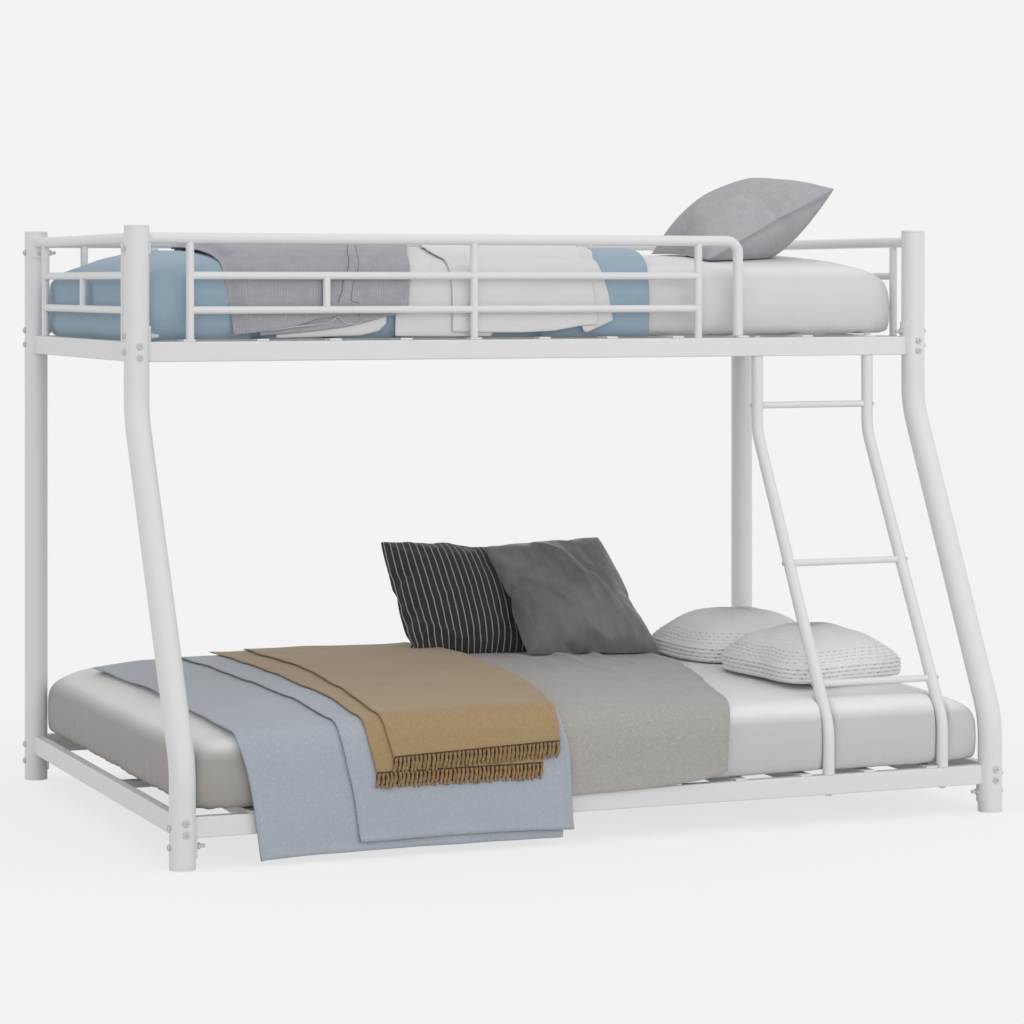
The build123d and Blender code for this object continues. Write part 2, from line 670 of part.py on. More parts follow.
def cloth_layer(bed, under, plan_shares, front_shares):
    """One layer of cloth over a bed's top and down over its front, with a stack of cloth under it."""
    length, width, height, crown, end, drop, y_middle, base = bed
    inner = under + cloth_gap
    outer = inner + cloth_thickness
    run = max(x for x, y in plan_shares) * post_x, min(x for x, y in plan_shares) * post_x
    across = Plane(origin=(run[1], y_middle, 0), x_dir=(0, 1, 0), z_dir=(1, 0, 0))
    hem_z = base + min(z for x, z in front_shares) * height
    middle = base + height / 2
    with BuildPart() as layer:
        bed_form(bed, outer)
        bed_form(bed, inner, Mode.SUBTRACT)
        clip(across, [(-width, middle), (width, middle), (width, base + 2 * height), (-width, base + 2 * height)],
             run[0] - run[1])
        with BuildSketch(across):
            with Locations((-width / 2 - (inner + outer) / 2, (middle + hem_z) / 2)):
                Rectangle(cloth_thickness, middle - hem_z)
        extrude(amount=run[0] - run[1])
        half_depth = (rear_y - y_middle) if bed is upper_bed else rear_y
        clip(Plane.XY, [(x * post_x, y_middle + y * half_depth) for x, y in plan_shares], bed_height)
        front_clip(bed, front_shares)
    return layer.part


def cushion(size, place, pose, edge=pillow_edge):
    """Crowned cushion: sections that swell in the middle, with drawn-in sides between its corners."""
    width, height, thickness = size
    turn, lean, slump = pose
    frame = Plane(Location(place) * Location((0, 0, 0), (0, 0, turn)) * Location((0, 0, 0), (90 - lean, 0, 0)))
    sections = []
    up = frame.y_dir * cos(radians(slump)) - frame.x_dir * sin(radians(slump))
    for share in pillow_shares:
        swell = sqrt(max(0.0, 1 - share ** 2))
        half = height / 2 * (1 - pillow_draw_share * swell)
        bulge = (thickness - edge) / 2 * swell ** pillow_swell_power + least_crown
        inset = width / 2 * share
        across = Plane(origin=frame.origin + frame.x_dir * inset, x_dir=up, z_dir=up.cross(frame.z_dir))
        with BuildSketch(across) as section:
            with BuildLine():
                Line((-half, -edge / 2), (-half, edge / 2))
                ThreePointArc((-half, edge / 2), (0, edge / 2 + bulge), (half, edge / 2))
                Line((half, edge / 2), (half, -edge / 2))
                ThreePointArc((half, -edge / 2), (0, -edge / 2 - bulge), (-half, -edge / 2))
            make_face()
        sections.append(section.sketch)
    loft(sections)


def room(line, radius, plane, depth):
    """Cut room for an upright along its line, open to the front."""
    with BuildSketch(plane) as slot:
        Circle(radius)
        with Locations((0, -depth / 2)):
            Rectangle(2 * radius, depth)
    sweep(slot.sketch, path=line, mode=Mode.SUBTRACT)


def ladder_rooms():
    for x in ladder_xs:
        with BuildLine() as line:
            ladder_line(x, ladder_foot_z, ladder_top_z)
        room(line.wires()[0], ladder_radius + ladder_room_gap, Plane((x, foot_y, ladder_foot_z)),
             ladder_room_depth)


# Posts and their caps
with BuildPart() as post_front_left:
    front_post(-post_x, True)
post_front_left.part.label = "post_front_left"
export_step(post_front_left.part, "parts/post_front_left.step")

with BuildPart() as post_front_right:
    front_post(post_x, False)
post_front_right.part.label = "post_front_right"
export_step(post_front_right.part, "parts/post_front_right.step")

with BuildPart() as post_rear_left:
    rear_post(-post_x)
post_rear_left.part.label = "post_rear_left"
export_step(post_rear_left.part, "parts/post_rear_left.step")

with BuildPart() as post_rear_right:
    rear_post(post_x)
post_rear_right.part.label = "post_rear_right"
export_step(post_rear_right.part, "parts/post_rear_right.step")

with BuildPart() as post_top_caps:
    for x in (-post_x, post_x):
        for y in (deck_y, rear_y):
            plug_cap(facing_plane(x, y, post_top_z, (0, 0, 1)), post_radius, post_wall, cap_thickness, cap_dome)
post_top_caps.part.label = "post_top_caps"
export_step(post_top_caps.part, "parts/post_top_caps.step")

with BuildPart() as post_foot_caps:
    for x in (-post_x, post_x):
        for y in (foot_y, rear_y):
            plug_cap(facing_plane(x, y, foot_thickness, (0, 0, -1)), post_radius, post_wall, foot_thickness)
post_foot_caps.part.label = "post_foot_caps"
export_step(post_foot_caps.part, "parts/post_foot_caps.step")

# Rails of both decks
for level in ("upper", "lower"):
    for side, y in (("front", front_ys[level]), ("rear", rear_y)):
        with BuildPart() as rail:
            long_rail(Plane((0, y, 0)), level, side)
        rail.part.label = f"{level}_rail_{side}"
        export_step(rail.part, f"parts/{level}_rail_{side}.step")
    for name, side in (("left", -1), ("right", 1)):
        with BuildPart() as rail:
            end_rail(end_plane(side, level), level)
        rail.part.label = f"{level}_rail_{name}"
        export_step(rail.part, f"parts/{level}_rail_{name}.step")

# Slats, and the beams under them
for level in ("upper", "lower"):
    with BuildPart() as deck:
        slats(level)
    deck.part.label = f"{level}_slats"
    export_step(deck.part, f"parts/{level}_slats.step")

    with BuildPart() as beam:
        middle_beam(level)
    beam.part.label = f"{level}_centre_beam"
    export_step(beam.part, f"parts/{level}_centre_beam.step")

# Centre legs under the lower beam, with plates at the top and caps at the floor
leg_top_z = beam_tops["lower"] - beam_height - beam_gap
with BuildPart() as centre_legs:
    for x in (-leg_offset, leg_offset):
        tube = tube_section(Plane((x, 0, leg_cap_thickness + seat_gap)), leg_diameter / 2, leg_wall)
        extrude(tube, amount=leg_top_z - leg_plate_thickness - leg_cap_thickness - seat_gap)
        with BuildSketch(Plane((x, 0, leg_top_z))):
            RectangleRounded(leg_plate_length, leg_plate_width, slat_corner)
        extrude(amount=-leg_plate_thickness)
        drill(Plane((x, 0, leg_top_z)), [(-leg_screw_spread / 2, 0), (leg_screw_spread / 2, 0)],
              small_screw_hole, -leg_plate_thickness)
centre_legs.part.label = "centre_legs"
export_step(centre_legs.part, "parts/centre_legs.step")

with BuildPart() as centre_leg_caps:
    for x in (-leg_offset, leg_offset):
        plug_cap(facing_plane(x, 0, leg_cap_thickness, (0, 0, -1)), leg_diameter / 2, leg_wall,
                 leg_cap_thickness)
centre_leg_caps.part.label = "centre_leg_caps"
export_step(centre_leg_caps.part, "parts/centre_leg_caps.step")

# Guards
with BuildPart() as front_guard:
    front_plane = Plane((0, deck_y, 0))
    guard_saddles(front_plane, (-post_x,), guard_bolt_drop, bolt_hole)
    guard_frame(front_plane, guard_places["front"], (-outer_upright, guard_front_xs[-1]),
                [guard_front_stub_x], (-post_x, post_x), guard_front_end_x)
front_guard.part.label = "front_guard"
export_step(front_guard.part, "parts/front_guard.step")

with BuildPart() as rear_guard:
    rear_plane = Plane((0, rear_y, 0))
    guard_saddles(rear_plane, (-post_x, post_x), guard_bolt_drop, bolt_hole)
    guard_frame(rear_plane, guard_places["rear"], (-outer_upright, outer_upright),
                [-(outer_upright + guard_rear_inner_x) / 2, 0.0, (outer_upright + guard_rear_inner_x) / 2],
                (-post_x, post_x))
rear_guard.part.label = "rear_guard"
export_step(rear_guard.part, "parts/rear_guard.step")

for name, side in (("left", -1), ("right", 1)):
    with BuildPart() as end_guard:
        plane = end_plane(side, "upper")
        half_span = end_spans["upper"] / 2
        guard_saddles(plane, (-half_span, half_span), guard_screw_drop, small_screw_hole)
        guard_frame(plane, [-end_upright, end_upright], (-end_upright, end_upright), [0.0],
                    (-half_span, half_span))
    end_guard.part.label = f"{name}_end_guard"
    export_step(end_guard.part, f"parts/{name}_end_guard.step")

# Ladder
for name, x in zip(("left", "right"), ladder_xs):
    with BuildPart() as upright:
        ladder_upright(x)
    upright.part.label = f"ladder_upright_{name}"
    export_step(upright.part, f"parts/ladder_upright_{name}.step")

for name, z in zip(("top", "middle", "bottom"), rung_heights):
    with BuildPart() as rung:
        ladder_rung(z)
    rung.part.label = f"ladder_rung_{name}"
    export_step(rung.part, f"parts/ladder_rung_{name}.step")

# Bolts and nuts of the rails
for level in ("upper", "lower"):
    for along, name in (("X", "rail"), ("Y", "end")):
        with BuildPart() as bolts:
            for seat in rail_joints(level, along, post_radius + seat_gap):
                capped_bolt(seat, bolt_length, bolt_diameter, bolt_head, bolt_head_height)
        bolts.part.label = f"{level}_{name}_bolts"
        export_step(bolts.part, f"parts/{level}_{name}_bolts.step")

        with BuildPart() as nuts:
            for seat in rail_joints(level, along, -saddle_outer - seat_gap):
                hex_nut(seat)
        nuts.part.label = f"{level}_{name}_nuts"
        export_step(nuts.part, f"parts/{level}_{name}_nuts.step")

# Fasteners of the guards
guard_joints = [(-1, deck_y), (-1, rear_y), (1, rear_y)]
with BuildPart() as guard_bolts:
    for side, y in guard_joints:
        seat = facing_plane(side * (post_x + post_radius + seat_gap), y, guard_z - guard_bolt_drop, (side, 0, 0))
        capped_bolt(seat, bolt_length, bolt_diameter, bolt_head, bolt_head_height)
guard_bolts.part.label = "guard_bolts"
export_step(guard_bolts.part, "parts/guard_bolts.step")

with BuildPart() as guard_nuts:
    for side, y in guard_joints:
        hex_nut(facing_plane(side * (post_x - saddle_outer - seat_gap), y, guard_z - guard_bolt_drop,
                             (-side, 0, 0)))
guard_nuts.part.label = "guard_nuts"
export_step(guard_nuts.part, "parts/guard_nuts.step")

with BuildPart() as guard_screws:
    for side in (-1, 1):
        for way, y in ((1, deck_y), (-1, rear_y)):
            seat = facing_plane(side * post_x, y + way * (saddle_outer + seat_gap), guard_z - guard_screw_drop,
                                (0, way, 0))
            capped_bolt(seat, small_screw_length, small_screw_diameter, small_screw_head,
                        small_screw_head_height)
guard_screws.part.label = "guard_screws"
export_step(guard_screws.part, "parts/guard_screws.step")

# Fasteners of the ladder
with BuildPart() as ladder_bolts:
    for x in ladder_xs:
        top_seat_z = deck_seat_z(x)
        capped_bolt(facing_plane(x, deck_y, top_seat_z, (0, 0, 1)),
                    ladder_bolt_length + top_seat_z - rail_tops["upper"], bolt_diameter, ladder_bolt_head,
                    bolt_head_height)
        capped_bolt(facing_plane(x, foot_y, rail_levels["lower"] - seat_gap, (0, 0, -1)), ladder_bolt_length,
                    bolt_diameter, ladder_bolt_head, bolt_head_height)
ladder_bolts.part.label = "ladder_bolts"
export_step(ladder_bolts.part, "parts/ladder_bolts.step")

with BuildPart() as rung_screws:
    for z in rung_heights:
        for way, x in zip((-1, 1), ladder_xs):
            seat = facing_plane(x + way * (ladder_radius + seat_gap), ladder_place(z)[0], z, (way, 0, 0))
            capped_bolt(seat, rung_screw_length, rung_screw, rung_screw_head, rung_screw_head_height)
rung_screws.part.label = "rung_screws"
export_step(rung_screws.part, "parts/rung_screws.step")

# Screws of the beams, in the hangers and in the plates of the centre legs
with BuildPart() as beam_screws:
    hanger_x = post_x - rail_width / 2 - hanger_reach / 2
    for level in ("upper", "lower"):
        seat_z = beam_tops[level] - beam_height - hanger_gap - hanger_thickness - seat_gap
        for side in (-1, 1):
            capped_bolt(facing_plane(side * hanger_x, end_middles[level], seat_z, (0, 0, -1)),
                        small_screw_length, small_screw_diameter, small_screw_head, small_screw_head_height)
    for x in (-leg_offset, leg_offset):
        for step in (-leg_screw_spread / 2, leg_screw_spread / 2):
            capped_bolt(facing_plane(x + step, 0, leg_top_z - leg_plate_thickness - seat_gap, (0, 0, -1)),
                        small_screw_length, small_screw_diameter, small_screw_head, small_screw_head_height)
beam_screws.part.label = "beam_screws"
export_step(beam_screws.part, "parts/beam_screws.step")

# Mattresses: the lower one makes room for the posts and the ladder
with BuildPart() as upper_mattress:
    bed_form(upper_bed)
upper_mattress.part.label = "upper_mattress"
export_step(upper_mattress.part, "parts/upper_mattress.step")

with BuildPart() as lower_mattress:
    bed_form(lower_bed)
    ladder_rooms()
    for x in (-post_x, post_x):
        with BuildLine() as post_line:
            front_post_line(x, foot_thickness, post_top_z)
        room(post_line.wires()[0], post_radius + post_room_gap, Plane((x, foot_y, foot_thickness)),
             ladder_room_depth)
    with BuildSketch() as rear_rooms:
        with Locations((-post_x, rear_y), (post_x, rear_y)):
            Circle(post_radius + post_room_gap)
    extrude(amount=post_top_z, mode=Mode.SUBTRACT)
lower_mattress.part.label = "lower_mattress"
export_step(lower_mattress.part, "parts/lower_mattress.step")

# Cloth of the upper bed: a blanket over the left end and the sides, and two throws over it
with BuildPart() as upper_blanket:
    bed_form(upper_bed, cloth_gap + cloth_thickness)
    bed_form(upper_bed, cloth_gap, Mode.SUBTRACT)
    front_clip(upper_bed, blanket_front_shares)
upper_blanket.part.label = "upper_blanket"
export_step(upper_blanket.part, "parts/upper_blanket.step")

one_layer = cloth_gap + cloth_thickness
throws = {
    "upper_grey_throw": [(upper_bed, one_layer, grey_plan_shares, grey_front_shares)],
    "upper_white_throw": [(upper_bed, one_layer, white_plan_shares, white_front_shares)],
    "lower_grey_throw": [(lower_bed, 0.0, taupe_plan_shares, taupe_front_shares)],
    "lower_blue_throw": [(lower_bed, 0.0, blue_plan_shares, blue_front_shares),
                         (lower_bed, one_layer, blue_plan_shares, blue_fold_front_shares)],
    "camel_throw": [(lower_bed, 2 * one_layer, camel_plan_shares, camel_front_shares),
                    (lower_bed, 3 * one_layer, camel_plan_shares, camel_fold_front_shares)],
}
for name, layers in throws.items():
    cloths = [cloth_layer(*layer) for layer in layers]
    with BuildPart() as throw:
        for cloth in cloths:
            add(cloth)
    throw.part.label = name
    export_step(throw.part, f"parts/{name}.step")

# Pillows, flat where they rest on a bed or on the cloth that covers it
with BuildPart() as upper_rest:
    bed_form(upper_bed, pillow_gap)
with BuildPart() as lower_rest:
    bed_form(lower_bed, pillow_gap)
with BuildPart() as covered_rest:
    bed_form(lower_bed, one_layer + pillow_gap)
with BuildPart() as throw_rest:
    bed_form(lower_bed, 4 * one_layer + pillow_gap)
    clip(Plane.XY, [(x * post_x + pillow_gap, y * rear_y) for x, y in camel_plan_shares], bed_height)
pillows = {
    "upper_pillow": (upper_pillow_size, upper_pillow_place, upper_pillow_pose, pillow_edge, upper_rest),
    "striped_pillow": (striped_size, striped_place, striped_pose, pillow_edge, covered_rest),
    "velvet_pillow": (velvet_size, velvet_place, velvet_pose, pillow_edge, covered_rest),
    "knit_pillow_back": (knit_size, knit_back_place, knit_back_pose, knit_edge, lower_rest),
    "knit_pillow_front": (knit_size, knit_front_place, knit_front_pose, knit_edge, lower_rest),
}
for name, (size, place, pose, edge, rest) in pillows.items():
    with BuildPart() as pillow:
        cushion(size, place, pose, edge)
        add(rest.part, mode=Mode.SUBTRACT)
        if name == "striped_pillow":
            add(throw_rest.part, mode=Mode.SUBTRACT)
        if name == "knit_pillow_front":
            ladder_rooms()
    pillow.part.label = name
    export_step(pillow.part, f"parts/{name}.step")
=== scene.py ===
import bmesh
import bpy
import numpy as np
from math import cos, exp, pi, radians, sin, sqrt
from mathutils import Matrix, Vector


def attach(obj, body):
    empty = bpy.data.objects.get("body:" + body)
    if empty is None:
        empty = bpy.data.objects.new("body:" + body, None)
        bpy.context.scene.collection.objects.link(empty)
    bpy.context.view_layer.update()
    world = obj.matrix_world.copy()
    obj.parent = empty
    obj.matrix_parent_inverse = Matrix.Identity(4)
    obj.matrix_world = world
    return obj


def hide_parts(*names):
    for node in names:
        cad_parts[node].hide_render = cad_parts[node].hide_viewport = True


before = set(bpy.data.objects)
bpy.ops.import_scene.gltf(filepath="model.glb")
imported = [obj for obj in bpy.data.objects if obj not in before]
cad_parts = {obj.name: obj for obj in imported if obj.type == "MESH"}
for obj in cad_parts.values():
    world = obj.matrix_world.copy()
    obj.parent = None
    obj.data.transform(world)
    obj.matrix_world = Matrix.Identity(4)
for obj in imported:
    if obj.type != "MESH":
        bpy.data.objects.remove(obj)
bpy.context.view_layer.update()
scene = bpy.context.scene
print("frame loaded")


class Sock:  # one socket of a node, so that node maths reads as Python
    def __init__(self, tree, out):
        self.tree, self.out = tree, out

    def via(self, kind, inputs, output=0, **settings):
        node = self.tree.nodes.new(kind)
        for key, value in settings.items():
            setattr(node, key, value)
        for key, value in inputs.items():
            if isinstance(value, Sock):
                self.tree.links.new(value.out, node.inputs[key])
            else:
                node.inputs[key].default_value = value
        return Sock(self.tree, node.outputs[output])

    def calc(self, operation, *others):
        return self.via("ShaderNodeMath", dict(enumerate((self,) + others)), operation=operation)

    def __add__(self, other):
        return self.calc("ADD", other)

    __radd__ = __add__

    def __sub__(self, other):
        return self.calc("SUBTRACT", other)

    def __rsub__(self, other):
        return self.calc("MULTIPLY_ADD", -1.0, other)

    def __mul__(self, other):
        return self.calc("MULTIPLY", other)

    __rmul__ = __mul__

    def __truediv__(self, other):
        return self.calc("DIVIDE", other)

    def __gt__(self, other):
        return self.calc("GREATER_THAN", other)

    def __abs__(self):
        return self.calc("ABSOLUTE")


# the knit's row height, the pitch of its beads and of the painted shade in its gaps along a row, and the
# shift per row
knitRow, knitBead, knitDash, dashShift = 0.0098, 0.0078, 0.026, 2.1


def tint(red, green, blue):  # a colour as it shows, from 0 to 255
    shares = (red / 255, green / 255, blue / 255)
    return tuple(s / 12.92 if s < 0.04 else ((s + 0.055) / 1.055) ** 2.4 for s in shares) + (1.0,)


def axis(spots, index):
    return spots.via("ShaderNodeSeparateXYZ", {"Vector": spots}, index)


def speckle(spots, scale, detail=3.0, stretch=(1.0, 1.0, 1.0), rough=0.6):
    placed = spots.via("ShaderNodeMapping", {"Vector": spots, "Scale": stretch})
    return placed.via("ShaderNodeTexNoise",
                      {"Vector": placed, "Scale": scale, "Detail": detail, "Roughness": rough})


def ramp(value, low, high, start=0.0, end=1.0):
    return value.via("ShaderNodeMapRange", {"Value": value, "From Min": low, "From Max": high,
                                            "To Min": start, "To Max": end})


def blendTint(share, first, second):
    return share.via("ShaderNodeMix", {0: share, 6: first, 7: second}, 2, data_type="RGBA")


def weave(spots, pitch):
    across = (axis(spots, 0) * (pi / pitch)).calc("SINE")
    along = (axis(spots, 1) * (pi / pitch)).calc("SINE")
    over = (across * along) > 0.0
    return over * abs(across) + (1.0 - over) * abs(along)


def makeMaterial(name, paint, coords, constants):
    material = bpy.data.materials.new(name)
    material.use_nodes = True
    tree = material.node_tree
    shader = tree.nodes["Principled BSDF"]
    spots = Sock(tree, tree.nodes.new("ShaderNodeTexCoord").outputs[coords])
    colour, rough, height, depth = paint(spots)
    bump = height.via("ShaderNodeBump", {"Height": height, "Distance": depth, "Strength": 1.0})
    for key, value in (("Base Color", colour), ("Roughness", rough), ("Normal", bump)):
        tree.links.new(value.out, shader.inputs[key])
    for key, value in constants.items():
        shader.inputs[key].default_value = value
    return material


def enamel(spots):
    cloud = speckle(spots, 3.0)
    peel = speckle(spots, 700.0, 2.0)
    grime = ramp(speckle(spots, 26.0, 4.0), 0.55, 0.75, 0.0, 0.10)
    clean = blendTint(cloud, tint(213, 213, 214), tint(219, 219, 220))
    colour = blendTint(grime, clean, tint(201, 200, 199))
    return colour, ramp(cloud, 0.2, 0.8, 0.36, 0.46) + grime, peel, 0.00012


def bareSteel(spots):
    brush = speckle(spots, 60.0, 4.0, (1.0, 1.0, 14.0))
    return (blendTint(brush, tint(184, 184, 186), tint(204, 204, 206)), ramp(brush, 0.2, 0.8, 0.42, 0.56),
            brush, 0.0001)


def mouldedPlastic(spots):
    grain = speckle(spots, 1400.0, 2.0)
    cloud = speckle(spots, 30.0)
    return (blendTint(cloud, tint(214, 214, 215), tint(220, 220, 220)), ramp(cloud, 0.2, 0.8, 0.42, 0.56),
            grain, 0.0001)


def plainCotton(dark, light, pitch=0.0011):
    def paint(spots):
        cloud = speckle(spots, 4.0, 4.0)
        slub = speckle(spots, 90.0, 4.0, (0.12, 1.0, 1.0))
        threads = weave(spots, pitch)
        colour = blendTint(ramp(cloud * 0.6 + slub * 0.4, 0.3, 0.7), dark, light)
        return colour, ramp(slub, 0.3, 0.7, 0.82, 0.95), threads * 0.35 + slub, 0.0004
    return paint


def paintedLightTopSheet(spots, low, high, side, top):  # the sides below a height, and a top above it painted lighter: painted light, for how the light falls on top and sides
    colour, rough, height, depth = plainCotton(*side)(spots)
    above = plainCotton(*top)(spots)[0]
    return blendTint(ramp(axis(spots, 2), low, high), colour, above), rough, height, depth


def whiteSheet(spots):
    # painted light: the top is painted lighter than the sides
    return paintedLightTopSheet(spots, 1.258, 1.283, (tint(206, 206, 206), tint(213, 213, 213)),
                      (tint(219, 219, 219), tint(226, 226, 226)))


def shadedSheet(spots):
    # painted light: the top is painted much lighter than the sides
    side, top = (tint(191, 190, 189), tint(198, 197, 196)), (tint(227, 226, 225), tint(234, 233, 232))
    colour, rough, height, depth = paintedLightTopSheet(spots, 0.236, 0.262, side, top)
    # painted shade: the sides towards the left end are painted darker and warmer, for the shade that falls
    # there
    paintedShade = ramp(axis(spots, 0), -0.40, -0.80) * ramp(axis(spots, 2), 0.256, 0.226)
    colour = blendTint(paintedShade, colour, tint(160, 156, 152))
    return colour, rough, height, depth


def crinkledLinen(dark, light, bands=0.0058, across=0):
    def paint(spots):
        drift = speckle(spots, 11.0, 3.0, (1.0, 0.5, 1.0)) - 0.5
        fine = speckle(spots, 190.0, 3.0, (1.0, 0.12, 1.0))
        cross = speckle(spots, 170.0, 3.0, (0.12, 1.0, 1.0))
        crease = ((axis(spots, across) + drift * 0.030) * (2 * pi / bands)).calc("SINE") * 0.5 + 0.5
        patch = ramp(speckle(spots, 26.0, 3.0), 0.40, 0.62)
        # the crease bands also set the colour, darker in their troughs and lighter on their crests:
        # painted shade and painted light of the crinkles; the fine and cross noise is the yarn's own tone
        lines = crease * (patch * 0.7 + 0.3) * 0.32 + fine * 0.40 + cross * 0.34
        colour = blendTint(ramp(lines, 0.25, 0.80), dark, light)
        threads = weave(spots, 0.0016)
        return colour, ramp(fine, 0.2, 0.8, 0.84, 0.96), lines * 1.2 + threads * 0.25, 0.0010
    return paint


def meltonWool(dark, light, fleck, density=0.60):
    def paint(spots):
        felt = speckle(spots, 330.0, 5.0, (1.0, 0.6, 1.0), 0.75)
        blot = speckle(spots, 110.0, 4.0, (1.0, 0.75, 1.0), 0.7)
        cloud = speckle(spots, 5.0, 2.0)
        colour = blendTint(ramp(felt * 0.45 + blot * 0.45 + cloud * 0.1, 0.36, 0.64), dark, light)
        flecks = ramp(speckle(spots, 300.0, 3.0, (1.0, 0.5, 1.0)), density, density + 0.10)
        colour = blendTint(flecks, colour, fleck)
        return colour, ramp(felt, 0.3, 0.7, 0.86, 0.98), felt + blot * 0.7, 0.0011
    return paint


def pinstripe(spots, stripe=0.0172, rib=0.0013):
    wobble = (speckle(spots, 24.0, 2.0) - 0.5) * 0.0016
    across = axis(spots, 0) + wobble
    line = abs((across * (pi / stripe)).calc("COSINE")) > 0.972
    broken = ramp(speckle(spots, 420.0, 2.0), 0.3, 0.6, 0.55, 1.0)
    twill = ((axis(spots, 0) + axis(spots, 1)) * (pi / rib)).calc("SINE") * 0.5 + 0.5
    cloud = speckle(spots, 8.0, 4.0)
    ground = blendTint(cloud, tint(33, 33, 34), tint(52, 52, 54))
    colour = blendTint(line * broken, ground, tint(172, 172, 170))
    return colour, ramp(cloud, 0.3, 0.7, 0.80, 0.92), twill * 0.5 + line * 0.6 + cloud, 0.0005


def velvet(spots):
    nap = speckle(spots, 6.0, 4.0, (1.0, 0.8, 1.0))
    fur = speckle(spots, 520.0, 3.0)
    brushed = speckle(spots, 34.0, 4.0, (1.0, 0.3, 1.0))
    shade = ramp(nap * 0.55 + brushed * 0.3 + fur * 0.15, 0.35, 0.65)
    colour = blendTint(shade, tint(86, 86, 87), tint(130, 130, 131))
    return colour, ramp(nap, 0.3, 0.7, 0.62, 0.84), fur * 0.5 + brushed, 0.0007


def knitYarn(spots):
    ply = ((axis(spots, 0) + axis(spots, 1) * 0.8) * (pi / 0.0031)).calc("SINE") * 0.5 + 0.5
    fuzz = speckle(spots, 300.0, 4.0)
    cloud = speckle(spots, 9.0, 3.0)
    colour = blendTint(ramp(fuzz * 0.5 + cloud * 0.5, 0.3, 0.7), tint(222, 222, 221), tint(237, 237, 236))
    row = axis(spots, 1) / knitRow
    # painted shade: the gaps between the rows are painted dark grey in dashes, for the shade in the knit's
    # hollows
    gap = ramp(abs((row * pi).calc("SINE")), 0.42, 0.12) * ramp(abs(row + 0.5), 4.6, 4.0)
    level = (row + 0.5).calc("FLOOR")
    dash = ramp((axis(spots, 0) * (2 * pi / knitDash) + level * dashShift).calc("SINE"), 0.55, 0.95)
    bead = ramp((axis(spots, 0) * (2 * pi / knitBead) + level * pi).calc("SINE"), 0.2, 0.9)
    colour = blendTint(gap * ramp(dash * 0.75 + bead * 0.45, 0.0, 1.0), colour, tint(112, 112, 112))
    return colour, ramp(fuzz, 0.3, 0.7, 0.86, 0.97), ply * 0.7 + fuzz, 0.0012


def fringeYarn(spots):
    ply = speckle(spots, 420.0, 3.0, (1.0, 1.0, 0.4))
    return (blendTint(ramp(ply, 0.35, 0.65), tint(120, 92, 60), tint(163, 135, 97)),
            ramp(ply, 0.3, 0.7, 0.86, 0.97), ply, 0.0006)


def plainYarn(dark, light):
    def paint(spots):
        ply = speckle(spots, 500.0, 3.0)
        return blendTint(ply, dark, light), ramp(ply, 0.3, 0.7, 0.85, 0.97), ply, 0.0004
    return paint


finishes = {  # what paints each one, what its pattern follows, and its plain values
    "whiteEnamel": (enamel, "Object", {"Coat Weight": 0.15, "Coat Roughness": 0.3}),
    "bareSteel": (bareSteel, "Object", {"Metallic": 0.25}),
    "whitePlastic": (mouldedPlastic, "Object", {}),
    "whiteSheet": (whiteSheet, "Object", {"Sheen Weight": 0.1}),
    "paleGreySheet": (shadedSheet, "Object", {"Sheen Weight": 0.1}),
    "blueCotton": (plainCotton(tint(140, 162, 178), tint(154, 175, 190), 0.0014), "UV",
                   {"Sheen Weight": 0.12}),
    "greyLinen": (crinkledLinen(tint(155, 154, 161), tint(180, 180, 186)), "UV", {}),
    "whiteLinen": (plainCotton(tint(211, 211, 211), tint(220, 220, 220), 0.0014), "UV",
                   {"Sheen Weight": 0.1}),
    "mauveLinen": (crinkledLinen(tint(160, 159, 165), tint(185, 185, 190), 0.0066, 1), "UV", {}),
    "blueWool": (meltonWool(tint(158, 164, 173), tint(170, 177, 185), tint(190, 195, 201)), "UV",
                 {"Sheen Weight": 0.2}),
    "taupeWool": (meltonWool(tint(157, 153, 150), tint(171, 167, 163), tint(186, 183, 179), 0.57), "UV",
                  {"Sheen Weight": 0.2}),
    "camelWool": (meltonWool(tint(151, 126, 88), tint(165, 141, 103), tint(179, 158, 121)), "UV",
                  {"Sheen Weight": 0.2}),
    "fringeYarn": (fringeYarn, "Object", {}),
    "darkBrownYarn": (plainYarn(tint(58, 42, 28), tint(84, 64, 44)), "Object", {}),
    "navyYarn": (plainYarn(tint(52, 60, 76), tint(78, 88, 104)), "Object", {}),
    # a dark yarn: the grey throw's left binding, which also paints the shadow under that edge, and painted
    # shadow lines in its pleats
    "charcoalYarn": (plainYarn(tint(96, 96, 104), tint(120, 120, 128)), "Object", {}),
    "paleYarn": (plainYarn(tint(184, 184, 186), tint(200, 200, 202)), "Object", {}),
    "pinstripe": (pinstripe, "UV", {"Sheen Weight": 0.15}),
    "velvet": (velvet, "UV", {"Sheen Weight": 0.45, "Sheen Roughness": 0.35}),
    "knitYarn": (knitYarn, "UV", {"Sheen Weight": 0.15}),
}
materials = {name: makeMaterial(name, *finish) for name, finish in finishes.items()}
print("materials made")


trimNodes = [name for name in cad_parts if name.endswith(("_bolts", "_nuts", "_screws"))]
plasticNodes = ["post_top_caps", "post_foot_caps", "centre_leg_caps"]
softNodes = {"upper_mattress", "lower_mattress", "upper_blanket", "upper_grey_throw", "upper_white_throw",
             "upper_pillow", "lower_grey_throw", "lower_blue_throw", "camel_throw", "striped_pillow",
             "velvet_pillow", "knit_pillow_back", "knit_pillow_front"}
for name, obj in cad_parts.items():
    if name in softNodes:
        continue
    kind = "bareSteel" if name in trimNodes else "whitePlastic" if name in plasticNodes else "whiteEnamel"
    for slot in obj.material_slots:
        slot.material = materials[kind]
print("frame dressed")


